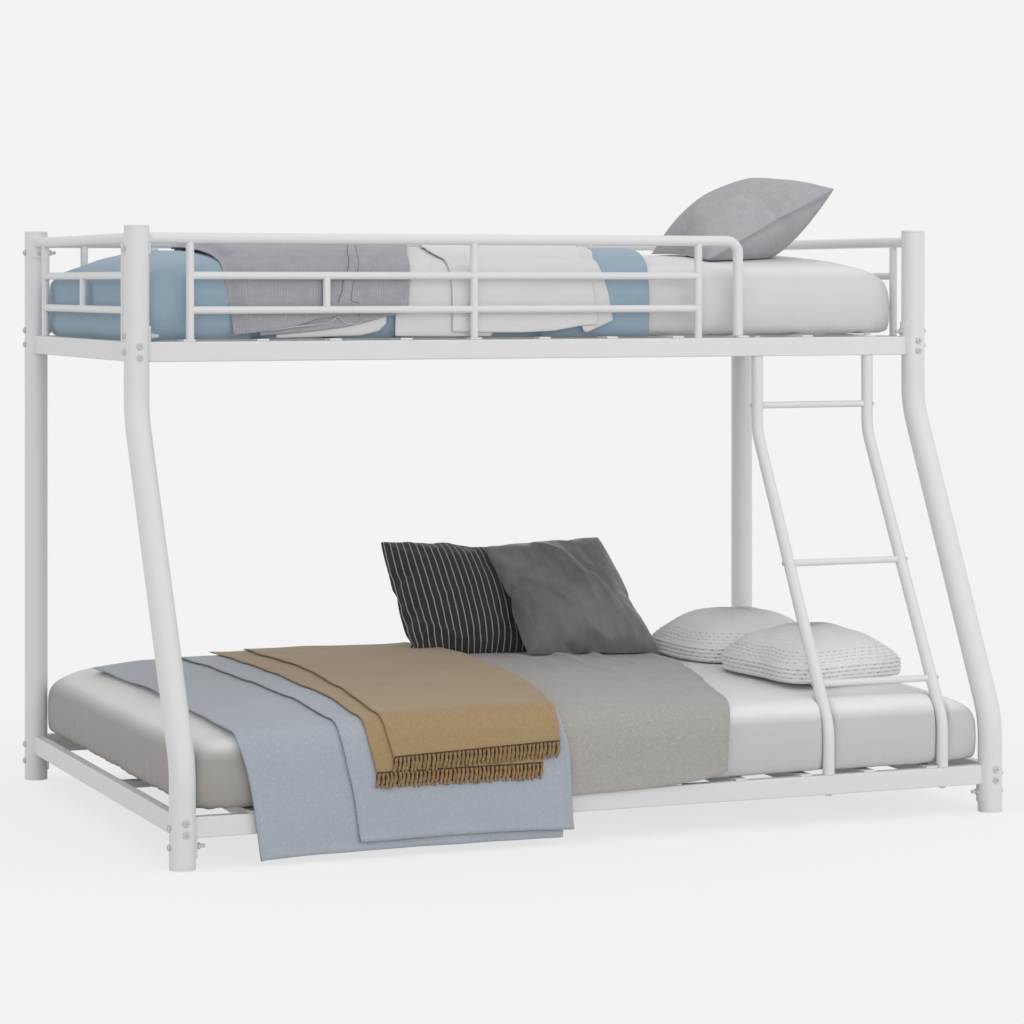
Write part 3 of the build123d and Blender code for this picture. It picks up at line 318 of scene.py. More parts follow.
def waves(x, y, length, seed, count=7):  # soft random waves of about one length
    rng = np.random.default_rng(seed)
    total = 0.0
    for _ in range(count):
        angle, phase, stretch = rng.uniform(0, 2 * pi), rng.uniform(0, 2 * pi), rng.uniform(0.7, 1.5)
        total = total + np.sin(2 * pi * (x * cos(angle) + y * sin(angle)) / (length * stretch) + phase)
    return total / sqrt(count)


def smoothStep(value, low, high):
    share = np.clip((value - low) / (high - low), 0.0, 1.0)
    return share * share * (3 - 2 * share)


def storeUvs(mesh, uvs):  # uvs are given by vertex
    layer = mesh.uv_layers[0] if mesh.uv_layers else mesh.uv_layers.new(name="cloth")
    corners = np.empty(len(mesh.loops), dtype=np.int32)
    mesh.loops.foreach_get("vertex_index", corners)
    layer.data.foreach_set("uv", np.asarray(uvs, dtype=np.float32)[corners].ravel())


def smoothShade(mesh):
    mesh.polygons.foreach_set("use_smooth", [True] * len(mesh.polygons))


def meshObject(name, verts, faces, material, uvs=None):
    mesh = bpy.data.meshes.new(name)
    mesh.from_pydata([tuple(v) for v in verts], [], [tuple(f) for f in faces])
    mesh.validate()
    if uvs is not None:
        storeUvs(mesh, uvs)
    smoothShade(mesh)
    obj = bpy.data.objects.new(name, mesh)
    scene.collection.objects.link(obj)
    obj.data.materials.append(materials[material])
    return obj


def settleModifiers(obj):  # leaves a plain mesh and no modifiers
    graph = bpy.context.evaluated_depsgraph_get()
    graph.update()
    mesh = bpy.data.meshes.new_from_object(obj.evaluated_get(graph))
    obj.modifiers.clear()
    old, obj.data = obj.data, mesh
    mesh.name = obj.name
    bpy.data.meshes.remove(old)


def vertexArray(mesh):
    spots = np.empty(len(mesh.vertices) * 3)
    mesh.vertices.foreach_get("co", spots)
    return spots.reshape(-1, 3)


def normalArray(mesh):
    ways = np.empty(len(mesh.vertices) * 3, dtype=np.float32)
    mesh.vertex_normals.foreach_get("vector", ways)
    return ways.reshape(-1, 3).astype(float)


def storeVertices(mesh, spots):
    mesh.vertices.foreach_set("co", np.asarray(spots, dtype=np.float32).ravel())
    mesh.update()


def smoothed(mesh, spots, rounds):  # moves each vertex halfway to the middle of its neighbours
    edges = np.empty(len(mesh.edges) * 2, dtype=np.int64)
    mesh.edges.foreach_get("vertices", edges)
    edges = edges.reshape(-1, 2)
    count = np.bincount(edges.ravel(), minlength=len(spots))[:, None]
    for _ in range(rounds):
        total = np.zeros_like(spots)
        np.add.at(total, edges[:, 0], spots[edges[:, 1]])
        np.add.at(total, edges[:, 1], spots[edges[:, 0]])
        spots = spots * 0.5 + total / np.maximum(count, 1) * 0.5
    return spots


def runAlong(line):  # the way from a line's start to each of its points
    return np.concatenate(([0.0], np.cumsum(np.linalg.norm(np.diff(line, axis=0), axis=1))))


# end and drop: how far from its ends a mattress falls, and by how much; settle: how cloth lies on it
beds = {
    "upper": {"half": 0.956, "halfWidth": 0.450, "yMiddle": 0.188, "base": 1.1198, "height": 0.167,
              "crown": 0.031, "end": 0.150, "drop": 0.055, "settle": 0.0022, "seed": 11},
    "lower": {"half": 0.967, "halfWidth": 0.6725, "yMiddle": 0.0, "base": 0.1168, "height": 0.167,
              "crown": 0.018, "end": 0.220, "drop": 0.062, "settle": 0.0028, "seed": 23},
}
mattressBulge, leastCrown, mattressCorner, edgeReach = 0.014, 0.0015, 0.034, 0.025


def endRounding(bed, x):
    share = np.clip((np.abs(x) - (bed["half"] - bed["end"])) / bed["end"], 0.0, 1.0)
    return 1 - np.sqrt(1 - share ** 2)


def bedTop(bed, x, y):
    rounding = endRounding(bed, x)
    foot = bed["halfWidth"] - mattressCorner * rounding ** 2 - mattressBulge
    high = bed["base"] + bed["height"] - bed["drop"] * rounding
    lean = np.clip((y - bed["yMiddle"]) / foot, -1.05, 1.05)
    return high + (bed["crown"] * (1 - rounding) + leastCrown) * (1 - lean ** 2)


def bedPath(bed):  # the line a cloth follows over the top, round the edge and down; 0 is at the edge
    half, high, middle = bed["halfWidth"], bed["base"] + bed["height"], bed["base"] + bed["height"] / 2
    foot = half - mattressBulge
    crown = bed["crown"] + leastCrown
    radius = ((high - middle) ** 2 + mattressBulge ** 2) / (2 * mattressBulge)
    along = np.linspace(foot * 0.97, -foot + edgeReach, 160)
    top = [(y, high + crown * (1 - (y / foot) ** 2)) for y in along]
    side = []
    for z in np.linspace(high - edgeReach, middle, 24):
        side.append((-(half - radius + sqrt(radius ** 2 - (z - middle) ** 2)), z))
    corner = (-foot, high)
    bend = []
    for t in np.linspace(0, 1, 14)[1:-1]:
        bend.append(tuple((1 - t) ** 2 * top[-1][k] + 2 * t * (1 - t) * corner[k] + t * t * side[0][k]
                          for k in (0, 1)))
    fall = [(-half, z) for z in np.linspace(middle, -0.2, 60)[1:]]
    line = np.array(top + bend + side + fall)
    run = runAlong(line)
    mark = np.argmin(np.hypot(line[:, 0] - corner[0], line[:, 1] - corner[1]))
    return run - run[mark], line[:, 0] + bed["yMiddle"], line[:, 1]


paths = {name: bedPath(bed) for name, bed in beds.items()}


def onTop(level, y):  # where the path passes a depth on the top
    bed = beds[level]
    return bed["yMiddle"] - bed["halfWidth"] + mattressBulge - y


def onFront(level, z):  # where it passes a height below the edge
    return beds[level]["base"] + beds[level]["height"] - z


def edgeAt(points, m):
    spots = sorted(points)
    return np.interp(m, [p[0] for p in spots], [p[1] for p in spots])


def softEdge(points, m):
    return sum(edgeAt(points, m + shift) for shift in (-0.03, -0.015, 0.0, 0.015, 0.03)) / 5


def pathPoint(level, m, lift, step=0.004):
    ms, ys, zs = paths[level]
    y, z = np.interp(m, ms, ys), np.interp(m, ms, zs)
    dy = np.interp(m + step, ms, ys) - np.interp(m - step, ms, ys)
    dz = np.interp(m + step, ms, zs) - np.interp(m - step, ms, zs)
    size = np.hypot(dy, dz)
    return y + dz / size * lift, z - dy / size * lift


def settled(level, x, m):
    bed = beds[level]
    swell = waves(x, m, 0.34, bed["seed"]) * 0.6 + waves(x, m, 0.12, bed["seed"] + 1) * 0.25
    return bed["settle"] * (1.1 + swell).clip(0.0)


# how far each of these reaches over the cloth
clothForm = {"flute": 0.16, "crumple": 0.055, "lip": 0.009, "roll": 0.012, "tuck": 0.045, "foldEnd": 0.03}


def spreadCloth(piece, spec, hem):  # x and the way along the bed's path, for each point of a grid
    back = onTop(piece["level"], spec["back"])
    longest = max(m for x, m in hem) - back
    widest = max(x for m, x in spec["right"]) - min(x for m, x in spec["left"])
    columns, rows = int(widest / piece["step"]) + 1, int(longest / piece["step"]) + 1
    u = np.linspace(0, 1, columns)[:, None]
    w = np.linspace(0, 1, rows)[None, :]
    m = back + w * np.full_like(u, longest)
    for _ in range(4):  # the sides depend on m and the hem on x, so they are found in turn
        left, right = softEdge(spec["left"], m), softEdge(spec["right"], m)
        x = left + (right - left) * u
        m = back + w * (edgeAt(hem, x) - back)
    return x, m


def clothLift(level, spec, hem, x, m):  # how far each point lies off the mattress
    fromLeft, fromRight = x - softEdge(spec["left"], m), softEdge(spec["right"], m) - x
    lift = spec["lift"] + settled(level, x, m)
    lift = lift + spec["lip"] * np.exp(-np.minimum(fromLeft, fromRight) / clothForm["lip"])
    lift = lift + spec.get("rise", 0.0) * (1 - smoothStep(m, -0.10, 0.02))
    lift = lift - spec.get("tuck", 0.0) * (1 - smoothStep(fromLeft, 0.0, clothForm["tuck"]))
    flutter = 0.5 + 0.5 * waves(x, m * 0.25, clothForm["flute"], spec["seed"], 4)
    lift = lift + spec["flute"] * smoothStep(m, 0.05, 0.30) * np.clip(flutter, 0, 1.6)
    for curve, width, height in spec.get("folds", ()):
        first, last = min(c[0] for c in curve), max(c[0] for c in curve)
        off = (x - edgeAt(curve, m)) / width
        reach = smoothStep(m, first, first + clothForm["foldEnd"])
        reach = reach * (1 - smoothStep(m, last - clothForm["foldEnd"], last))
        lift = lift + height * np.exp(-off ** 4) * reach
    lift = lift + spec.get("crumple", 0.0) * np.abs(waves(x, m, clothForm["crumple"], spec["seed"] + 9))
    return lift + spec.get("hemRoll", 0.0) * np.exp(-((edgeAt(hem, x) - m) / clothForm["roll"]) ** 2)


def followEnds(bed, x, y, z):  # how far cloth draws in and falls with the mattress's rounded ends
    rounding = endRounding(bed, x)
    middle = bed["base"] + bed["height"] / 2
    lean = ((y - bed["yMiddle"]) / bed["halfWidth"]) ** 2
    fall = (bed["drop"] + bed["crown"] * (1 - lean).clip(0)) * rounding
    return mattressCorner * rounding ** 2, fall * ((z - middle) / (bed["height"] / 2)).clip(0, 1)


def gridRim(columns, rows):  # the outer points of a grid, in turn
    rim = [i * rows for i in range(columns)] + [(columns - 1) * rows + j for j in range(1, rows)]
    return rim + [i * rows + rows - 1 for i in range(columns - 2, -1, -1)] + list(range(rows - 2, 0, -1))


def shellFaces(columns, rows, rim):  # a lower and an upper grid, closed by a row of points round the rim
    faces, count = [], columns * rows
    for i in range(columns - 1):
        for j in range(rows - 1):
            a = i * rows + j
            b, c, d = a + rows, a + rows + 1, a + 1
            faces.append((a + count, b + count, c + count, d + count))
            faces.append((d, c, b, a))
    first = 2 * count
    for k in range(len(rim)):
        n = (k + 1) % len(rim)
        faces.append((rim[k], rim[n], first + n, first + k))
        faces.append((first + k, first + n, rim[n] + count, rim[k] + count))
    return faces


def creaseLine(curve, x, m, grid):  # where a crease crosses each row of the grid
    line, order = [], np.arange(len(x))
    for j in range(x.shape[1]):
        spot = np.interp(0.0, x[:, j] - edgeAt(curve, m[:, j]), order)
        if curve[0][0] <= np.interp(spot, order, m[:, j]) <= curve[-1][0]:
            line.append([np.interp(spot, order, grid[:, j, k]) for k in range(3)])
    return line


def clothLayer(piece, spec):
    level, thickness = piece["level"], piece["thickness"]
    hem = [(x, onFront(level, z)) for x, z in spec["hem"]]
    x, m = spreadCloth(piece, spec, hem)
    lift = clothLift(level, spec, hem, x, m)
    y, z = pathPoint(level, m, lift)
    upperY, upperZ = pathPoint(level, m, lift + thickness)
    inset, fall = followEnds(beds[level], x, y, z)
    lowGrid = np.stack([x, y + inset, z - fall], axis=-1)
    highGrid = np.stack([x, upperY + inset, upperZ - fall], axis=-1)
    low, high, rim = lowGrid.reshape(-1, 3), highGrid.reshape(-1, 3), gridRim(*x.shape)
    middles = (low[rim] + high[rim]) / 2
    around = np.roll(middles, -1, axis=0) - np.roll(middles, 1, axis=0)
    out = np.cross(around, high[rim] - low[rim])
    out = out / np.maximum(np.linalg.norm(out, axis=1)[:, None], 1e-9)
    if np.sum(out[:, 0] * (middles[:, 0] - x.mean())) < 0:
        out = -out
    middles = middles + out * thickness * 0.45  # rounds the cut edge
    uv = np.stack([x, m], axis=-1).reshape(-1, 2)
    area = np.linalg.norm(np.cross(np.diff(lowGrid, axis=0)[:, :-1], np.diff(lowGrid, axis=1)[:-1, :]),
                          axis=-1).sum()
    centres = (highGrid + lowGrid) / 2
    lines = {"left": centres[0], "right": centres[-1], "hem": centres[:, -1],
             "creases": [creaseLine(curve, x, m, highGrid) for curve in spec.get("creases", ())]}
    return (np.concatenate([low, high, middles]), shellFaces(*x.shape, rim),
            np.concatenate([uv, uv, uv[rim]]), area, lines)


def clothPiece(name, piece):
    verts, faces, uvs, area, edges, count = [], [], [], 0.0, [], 0
    for layer in piece["layers"]:
        v, f, t, a, e = clothLayer(piece, layer)
        faces += [tuple(k + count for k in face) for face in f]
        verts.append(v)
        uvs.append(t)
        count += len(v)
        area += a
        edges.append(e)
    obj = meshObject(name, np.concatenate(verts), faces, piece["material"], np.concatenate(uvs))
    return obj, area, edges


def yarnAlong(name, lines, radius, material, sides=6):  # round threads, closed at both ends
    verts, faces, slant = [], [], (0.31, 0.17, 0.94)  # no yarn runs along the slant
    for line in lines:
        line = np.asarray(line)
        ways = np.gradient(line, axis=0)
        ways /= np.maximum(np.linalg.norm(ways, axis=1)[:, None], 1e-9)
        base = len(verts)
        for spot, way in zip(line, ways):
            side = np.cross(way, slant)
            side /= np.linalg.norm(side)
            lift = np.cross(side, way)
            for k in range(sides):
                angle = 2 * pi * k / sides
                verts.append(spot + radius * (side * cos(angle) + lift * sin(angle)))
        for i in range(len(line) - 1):
            for k in range(sides):
                a, b = base + i * sides + k, base + i * sides + (k + 1) % sides
                faces.append((a, b, b + sides, a + sides))
        faces.append(tuple(base + k for k in range(sides))[::-1])
        faces.append(tuple(base + (len(line) - 1) * sides + k for k in range(sides)))
    return meshObject(name, verts, faces, material)


# left, right, folds and creases give x by the way along the bed's path, in metres from its edge, and the
# hem gives heights by x; back is the depth at which the cloth starts on the top; edges gives each
# binding's side, yarn and radius; creases are also drawn as thin dark strands of painted shadow
throws = {
    "upperGreyThrow": {
        "node": "upper_grey_throw", "slot": "grey_linen", "level": "upper", "material": "greyLinen",
        "flat": (0.5, 2.4), "held": "folded", "rests": ["upperWhiteThrow", "upperBlanket"], "step": 0.006,
        "thickness": 0.0034,
        "layers": [
            {"lift": 0.009, "back": 0.5, "seed": 31, "flute": 0.0008, "lip": 0.0006, "rise": 0.005,
             "hemRoll": 0.0012,
             "left": [(-1.0, -0.56), (-0.77, -0.62), (-0.5, -0.705), (-0.25, -0.72), (0.0, -0.725),
                      (0.15, -0.69)], "right": [(-1.0, -0.02), (0.0, -0.345), (0.15, -0.372)],
             "hem": [(-0.76, 1.1235), (-0.68, 1.128), (-0.574, 1.136), (-0.482, 1.147), (-0.421, 1.161),
                     (-0.389, 1.17), (-0.33, 1.176)]},
            {"lift": 0.0134, "back": 0.52, "seed": 32, "flute": 0.001, "lip": 0.0012, "rise": 0.0065,
             "tuck": 0.0122, "hemRoll": 0.0016,
             "left": [(-1.0, -0.6), (-0.77, -0.66), (-0.5, -0.752), (-0.25, -0.772), (-0.1, -0.772),
                      (0.013, -0.777), (0.037, -0.771), (0.09, -0.763), (0.147, -0.752)],
             "right": [(-1.0, 0.03), (-0.436, -0.17), (-0.228, -0.246), (-0.022, -0.322), (0.012, -0.331),
                       (0.06, -0.334), (0.15, -0.343)],
             "hem": [(-0.76, 1.128), (-0.68, 1.137), (-0.611, 1.148), (-0.553, 1.166), (-0.515, 1.171),
                     (-0.45, 1.178), (-0.33, 1.186)],
             "folds": [([(-0.55, -0.25), (-0.192, -0.398), (0.014, -0.468), (0.036, -0.482),
                         (0.066, -0.488), (0.1, -0.5)], 0.013, 0.0048),
                       ([(-0.9, -0.66), (-0.5, -0.722), (-0.1, -0.738), (-0.02, -0.742)], 0.016, 0.007)],
             "creases": [[(-0.55, -0.262), (-0.192, -0.406), (0.014, -0.479), (0.035, -0.494),
                          (0.062, -0.499), (0.089, -0.51)],
                         [(-0.55, -0.236), (-0.192, -0.389), (0.014, -0.455), (0.037, -0.47),
                          (0.067, -0.476), (0.082, -0.478), (0.09, -0.447)]]}],
        # a dark binding along the left edge that also paints the shadow under that edge
        "edges": [("left", "charcoalYarn", 0.0009)],
        "piping": [(-0.6704, 0.149), (-0.6144, 0.1407), (-0.5714, 0.1368), (-0.5311, 0.1321),
                   (-0.5185, 0.1251), (-0.5129, 0.118), (-0.5052, 0.118), (-0.4989, 0.1252),
                   (-0.4911, 0.1326), (-0.4663, 0.1357), (-0.4524, 0.13), (-0.446, 0.1212),
                   (-0.4538, 0.1136)]},
    "upperWhiteThrow": {
        "node": "upper_white_throw", "slot": "white_linen", "level": "upper", "material": "whiteLinen",
        "flat": (0.86, 2.2), "held": "folded", "rests": ["upperBlanket"], "step": 0.007,
        "thickness": 0.0034,
        "layers": [
            {"lift": 0.0046, "back": -0.1, "seed": 43, "flute": 0.0006, "lip": 0.0008,
             "left": [(-1.0, -0.652), (0.15, -0.652)], "right": [(-1.0, -0.388), (0.15, -0.388)],
             "hem": [(-0.66, 1.1215), (-0.45, 1.126), (-0.405, 1.136), (-0.392, 1.15), (-0.38, 1.158)]},
            {"lift": 0.0046, "back": 0.52, "seed": 41, "flute": 0.001, "lip": 0.0016, "rise": 0.0062,
             "left": [(-1.0, -0.06), (0.0, -0.36), (0.15, -0.364)],
             "right": [(-1.0, 0.47), (-0.398, 0.283), (-0.142, 0.202), (-0.02, 0.152), (0.014, 0.152),
                       (0.033, 0.169), (0.055, 0.17), (0.09, 0.177), (0.11, 0.185), (0.16, 0.185)],
             "hem": [(-0.37, 1.124), (-0.183, 1.122), (-0.128, 1.1225), (-0.118, 1.136), (0.08, 1.15),
                     (0.104, 1.149), (0.112, 1.131), (0.12, 1.1305), (0.186, 1.1585)]},
            {"lift": 0.009, "back": 0.5, "seed": 42, "flute": 0.0008, "lip": 0.0022, "rise": 0.008,
             "hemRoll": 0.0012,
             "left": [(-1.0, 0.08), (-0.436, -0.13), (-0.228, -0.206), (-0.08, -0.24), (0.0, -0.23),
                      (0.03, -0.224), (0.15, -0.224)],
             "right": [(-1.0, 0.435), (-0.398, 0.248), (-0.142, 0.167), (-0.02, 0.122), (0.014, 0.124),
                       (0.09, 0.138), (0.15, 0.146)],
             "hem": [(-0.23, 1.1335), (-0.11, 1.1315), (-0.047, 1.131), (0.031, 1.1345), (0.104, 1.1465),
                     (0.16, 1.15)]}],
        "edges": [("right", "paleYarn", 0.0009)]},
    "lowerGreyThrow": {
        "node": "lower_grey_throw", "slot": "taupe_grey_wool", "level": "lower", "material": "taupeWool",
        "flat": (0.66, 1.5), "held": "draped", "rests": ["lowerMattress"], "step": 0.0075,
        "thickness": 0.0042,
        "layers": [
            {"lift": 0.0006, "back": 0.425, "seed": 51, "flute": 0.003, "lip": 0.0045, "hemRoll": 0.0015,
             "crumple": 0.0012, "left": [(-1.2, -0.15), (0.3, -0.15)],
             "right": [(-1.0835, 0.452), (-0.8325, 0.458), (-0.5495, 0.438), (-0.3205, 0.383),
                       (-0.1585, 0.334), (0.0, 0.3), (0.05, 0.29), (0.17, 0.286)],
             "hem": [(-0.15, 0.106), (-0.08, 0.108), (0.1, 0.112), (0.22, 0.122), (0.27, 0.131),
                     (0.29, 0.142)],
             "folds": [([(-0.9585, 0.21), (-0.7585, 0.235), (-0.5585, 0.2), (-0.4385, 0.235)], 0.016,
                        0.0065), ([(-0.9185, 0.12), (-0.6785, 0.15), (-0.4985, 0.1)], 0.02, 0.0055),
                       ([(-0.8985, 0.33), (-0.6985, 0.31), (-0.5385, 0.34)], 0.014, 0.0045)]}],
        "edges": []},
    "lowerBlueThrow": {
        "node": "lower_blue_throw", "slot": "pale_blue_wool", "level": "lower", "material": "blueWool",
        "flat": (0.82, 2.9), "held": "folded", "rests": ["lowerGreyThrow", "lowerMattress"],
        "step": 0.0085, "thickness": 0.004,
        "layers": [
            {"lift": 0.0054, "back": 0.5, "seed": 61, "flute": 0.0034, "lip": 0.0012, "hemRoll": 0.005,
             "left": [(-1.2, -0.878), (-0.02, -0.874), (0.02, -0.866), (0.07, -0.851), (0.138, -0.837),
                      (0.274, -0.819)],
             "right": [(-1.2, -0.15), (-0.25, -0.146), (0.0, -0.132), (0.08, -0.112), (0.2, -0.112),
                       (0.28, -0.126)],
             "hem": [(-0.83, 0.01), (-0.81, 0.0145), (-0.7, 0.018), (-0.5, 0.0205), (-0.3, 0.0195),
                     (-0.11, 0.018)]},
            {"lift": 0.01, "back": 0.48, "seed": 62, "flute": 0.003, "lip": 0.002, "hemRoll": 0.0035,
             "left": [(-1.2, -0.672), (-0.6, -0.662), (-0.06, -0.652), (0.0, -0.645), (0.02, -0.638),
                      (0.077, -0.627), (0.13, -0.612), (0.245, -0.595)],
             "right": [(-1.2, -0.145), (-0.25, -0.14), (0.0, -0.126), (0.08, -0.106), (0.2, -0.102),
                       (0.27, -0.094)],
             "hem": [(-0.62, 0.038), (-0.4, 0.041), (-0.22, 0.04), (-0.09, 0.034)],
             "folds": [([(-0.1, -0.108), (0.05, -0.106), (0.245, -0.098)], 0.014, 0.0034)]}],
        "edges": [("left", "navyYarn", 0.0015)]},
    "camelThrow": {
        "node": "camel_throw", "slot": "camel_wool", "level": "lower", "material": "camelWool",
        "flat": (0.54, 2.7), "held": "folded", "rests": ["lowerBlueThrow"], "step": 0.008,
        "thickness": 0.0038,
        "layers": [
            {"lift": 0.0148, "back": 0.535, "seed": 71, "flute": 0.0012, "lip": 0.0014,
             "left": [(-1.3, -0.566), (-0.14, -0.578), (-0.03, -0.586), (0.01, -0.582), (0.09, -0.562),
                      (0.12, -0.555)],
             "right": [(-1.3, -0.062), (-0.7585, -0.046), (-0.2595, -0.09), (-0.02, -0.142),
                       (0.11, -0.176)], "hem": [(-0.56, 0.184), (-0.17, 0.184)]},
            {"lift": 0.0192, "back": 0.52, "seed": 72, "flute": 0.0012, "lip": 0.0016,
             "left": [(-1.3, -0.48), (-0.6, -0.495), (-0.1, -0.536), (-0.03, -0.546), (0.02, -0.536),
                      (0.05, -0.527), (0.09, -0.516)],
             "right": [(-1.3, -0.055), (-0.7585, -0.038), (-0.2595, -0.081), (-0.02, -0.131),
                       (0.03, -0.134), (0.09, -0.131)], "hem": [(-0.55, 0.214), (-0.13, 0.228)]}],
        "edges": [("left", "darkBrownYarn", 0.0014)]},
}


fringe = {"length": 0.036, "radius": 0.0040, "taper": 0.18, "ply": 0.22, "twist": 5.0, "bend": 0.0012,
          "pitch": 0.0098,
          "spread": {"Least turn": (-0.03, 0.05, -0.4), "Most turn": (0.02, 0.17, 0.4),
                     "Least size": (0.95, 0.95, 0.92), "Most size": (1.15, 1.1, 1.04)},
          "backing": ((-0.0008, -0.0004), (0.0020, 0.006), (0.0022, 0.012), (0.0022, 0.018),
                      (0.0022, 0.024)), "backingRadius": 0.0031}


def strandMesh(sides=8, rings=13):
    verts, faces = [], []
    for r in range(rings):
        share = r / (rings - 1)
        radius = fringe["radius"] * (1.0 - fringe["taper"] * share)
        for k in range(sides):
            angle = 2 * pi * k / sides
            ply = 1.0 + fringe["ply"] * cos(2 * (angle - share * fringe["twist"]))
            verts.append((radius * ply * cos(angle) + fringe["bend"] * sin(share * 4),
                          radius * ply * sin(angle) * 0.8, -share * fringe["length"]))
        if r:
            for k in range(sides):
                a, b = (r - 1) * sides + k, (r - 1) * sides + (k + 1) % sides
                faces.append((a, b, b + sides, a + sides))
    faces.append(tuple(range(sides))[::-1])
    faces.append(tuple((rings - 1) * sides + k for k in range(sides)))
    return meshObject("fringeStrand", verts, faces, "fringeYarn")


def fringeAlong(name, spots, strand, seed):  # hangs a strand at each spot, each turned a little
    obj = meshObject(name, spots, [], "fringeYarn")
    group = bpy.data.node_groups.new(name + "Nodes", "GeometryNodeTree")
    group.interface.new_socket("Geometry", in_out="INPUT", socket_type="NodeSocketGeometry")
    group.interface.new_socket("Geometry", in_out="OUTPUT", socket_type="NodeSocketGeometry")
    inputs = {label: group.interface.new_socket(label, in_out="INPUT", socket_type="NodeSocketVector")
              for label in fringe["spread"]}
    given = group.nodes.new("NodeGroupInput").outputs
    entry = Sock(group, given["Geometry"])
    dots = entry.via("GeometryNodeMeshToPoints", {"Mesh": entry})
    model = entry.via("GeometryNodeObjectInfo", {"Object": strand}, "Geometry")
    draws = (("turn", seed), ("size", seed + 5))
    turn, size = (entry.via("FunctionNodeRandomValue",
                            {"Min": Sock(group, given["Least " + kind]),
                             "Max": Sock(group, given["Most " + kind]), "Seed": start},
                            data_type="FLOAT_VECTOR") for kind, start in draws)
    hung = entry.via("GeometryNodeInstanceOnPoints",
                     {"Points": dots, "Instance": model, "Rotation": turn, "Scale": size})
    solid = entry.via("GeometryNodeRealizeInstances", {0: hung})
    paint = entry.via("GeometryNodeSetMaterial", {"Geometry": solid, "Material": materials["fringeYarn"]})
    group.links.new(paint.out, group.nodes.new("NodeGroupOutput").inputs[0])
    strands = obj.modifiers.new("strands", "NODES")
    strands.node_group = group
    for label, socket in inputs.items():
        strands[socket.identifier] = fringe["spread"][label]
    settleModifiers(obj)
    smoothShade(obj.data)
    return obj


def evenly(line, pitch):
    run = runAlong(line)
    marks = np.arange(pitch / 2, run[-1], pitch)
    return np.stack([np.interp(marks, run, line[:, k]) for k in range(3)], axis=-1)


clothObjects, creaseShadowRadius, pipingReach, pipingRadius = {}, 0.0009, 0.010, 0.0015
for key, piece in throws.items():
    obj, area, edges = clothPiece(key, piece)
    helpers = []
    for layer, edge in enumerate(edges):
        for side, yarn, radius in piece["edges"]:
            place = f"{layer}{side.capitalize()}"
            helpers.append(yarnAlong(f"{key}Binding{place}", [edge[side]], radius, yarn))
        # painted shadow: thin dark strands laid in the pleats stand for the shade in them
        if edge["creases"]:
            helpers.append(yarnAlong(f"{key}Crease{layer}", edge["creases"], creaseShadowRadius, "charcoalYarn"))
    if "piping" in piece:
        cloth, line = vertexArray(obj.data), []  # the piping lies on the foremost cloth near each point
        for x, down in piece["piping"]:
            z = beds[piece["level"]]["base"] + beds[piece["level"]]["height"] - down
            near = cloth[np.hypot(cloth[:, 0] - x, cloth[:, 2] - z) < pipingReach]
            line.append((x, near[:, 1].min() - pipingRadius / 2, z))
        helpers.append(yarnAlong(f"{key}Piping", [line], pipingRadius, "paleYarn"))
    clothObjects[key] = {"obj": obj, "area": area, "edges": edges, "helpers": helpers}
print("throws laid")

strand = strandMesh()
camel = clothObjects["camelThrow"]
for layer, edge in enumerate(camel["edges"]):
    hem = edge["hem"]
    spots = evenly(hem + np.array([0.0, -0.0004, 0.001]), fringe["pitch"]) + np.array([0.0, -0.0008, 0.0])
    camel["helpers"].append(fringeAlong(f"camelFringe{layer}", spots, strand, 5 + 20 * layer))
    backing = [hem + np.array([0.0, away, -low]) for away, low in fringe["backing"]]
    camel["helpers"].append(yarnAlong(f"camelStitch{layer}", backing, fringe["backingRadius"],
                                      "darkBrownYarn"))
bpy.data.objects.remove(strand)
print("fringe hung")


def remeshed(node, name, material):  # an even, softened copy of a CAD node's mesh
    obj = bpy.data.objects.new(name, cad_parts[node].data.copy())
    scene.collection.objects.link(obj)
    obj.modifiers.new("voxels", "REMESH").mode = "VOXEL"
    obj.modifiers["voxels"].voxel_size = 0.009
    settleModifiers(obj)
    obj.data.materials.clear()
    obj.data.materials.append(materials[material])
    storeVertices(obj.data, smoothed(obj.data, vertexArray(obj.data), 8))
    smoothShade(obj.data)
    return obj


mattresses = {
    "upperMattress": {"node": "upper_mattress", "level": "upper", "material": "whiteSheet",
                      "slot": "white_ticking"},
    "lowerMattress": {"node": "lower_mattress", "level": "lower", "material": "paleGreySheet",
                      "slot": "pale_grey_ticking"},
}
# the lengths and heights of the ticking's waves, and how far it lies inside the solid
ticking = {"pleat": (0.045, 0.0012), "swell": (0.30, 0.0009), "ripple": (0.10, 0.0003), "inset": 0.0022}
for name, piece in mattresses.items():
    bed = beds[piece["level"]]
    obj = remeshed(piece["node"], name, piece["material"])
    spots, ways = vertexArray(obj.data), normalArray(obj.data)
    x, y, z = spots.T
    endwards = smoothStep(np.abs(x), bed["half"] - bed["end"] - 0.12, bed["half"] - 0.02)
    low = 1 - smoothStep(z, bed["base"] + 0.02, bed["base"] + 0.12)
    pleat, swell, ripple = (waves(x, y, ticking[kind][0], bed["seed"] + 3 + k) * ticking[kind][1]
                            for k, kind in enumerate(("pleat", "swell", "ripple")))
    raised = swell + ripple + pleat * low * (0.35 + endwards)
    inward = -ticking["inset"] + np.clip(raised, -0.002, ticking["inset"])
    storeVertices(obj.data, spots + ways * inward[:, None])
    piece["obj"] = obj
print("mattresses made")


def cutAlong(obj, spot, way):  # takes off what lies beyond a plane
    work = bmesh.new()
    work.from_mesh(obj.data)
    bmesh.ops.bisect_plane(work, geom=work.verts[:] + work.edges[:] + work.faces[:], plane_co=spot,
                           plane_no=way, clear_outer=True)
    work.to_mesh(obj.data)
    work.free()


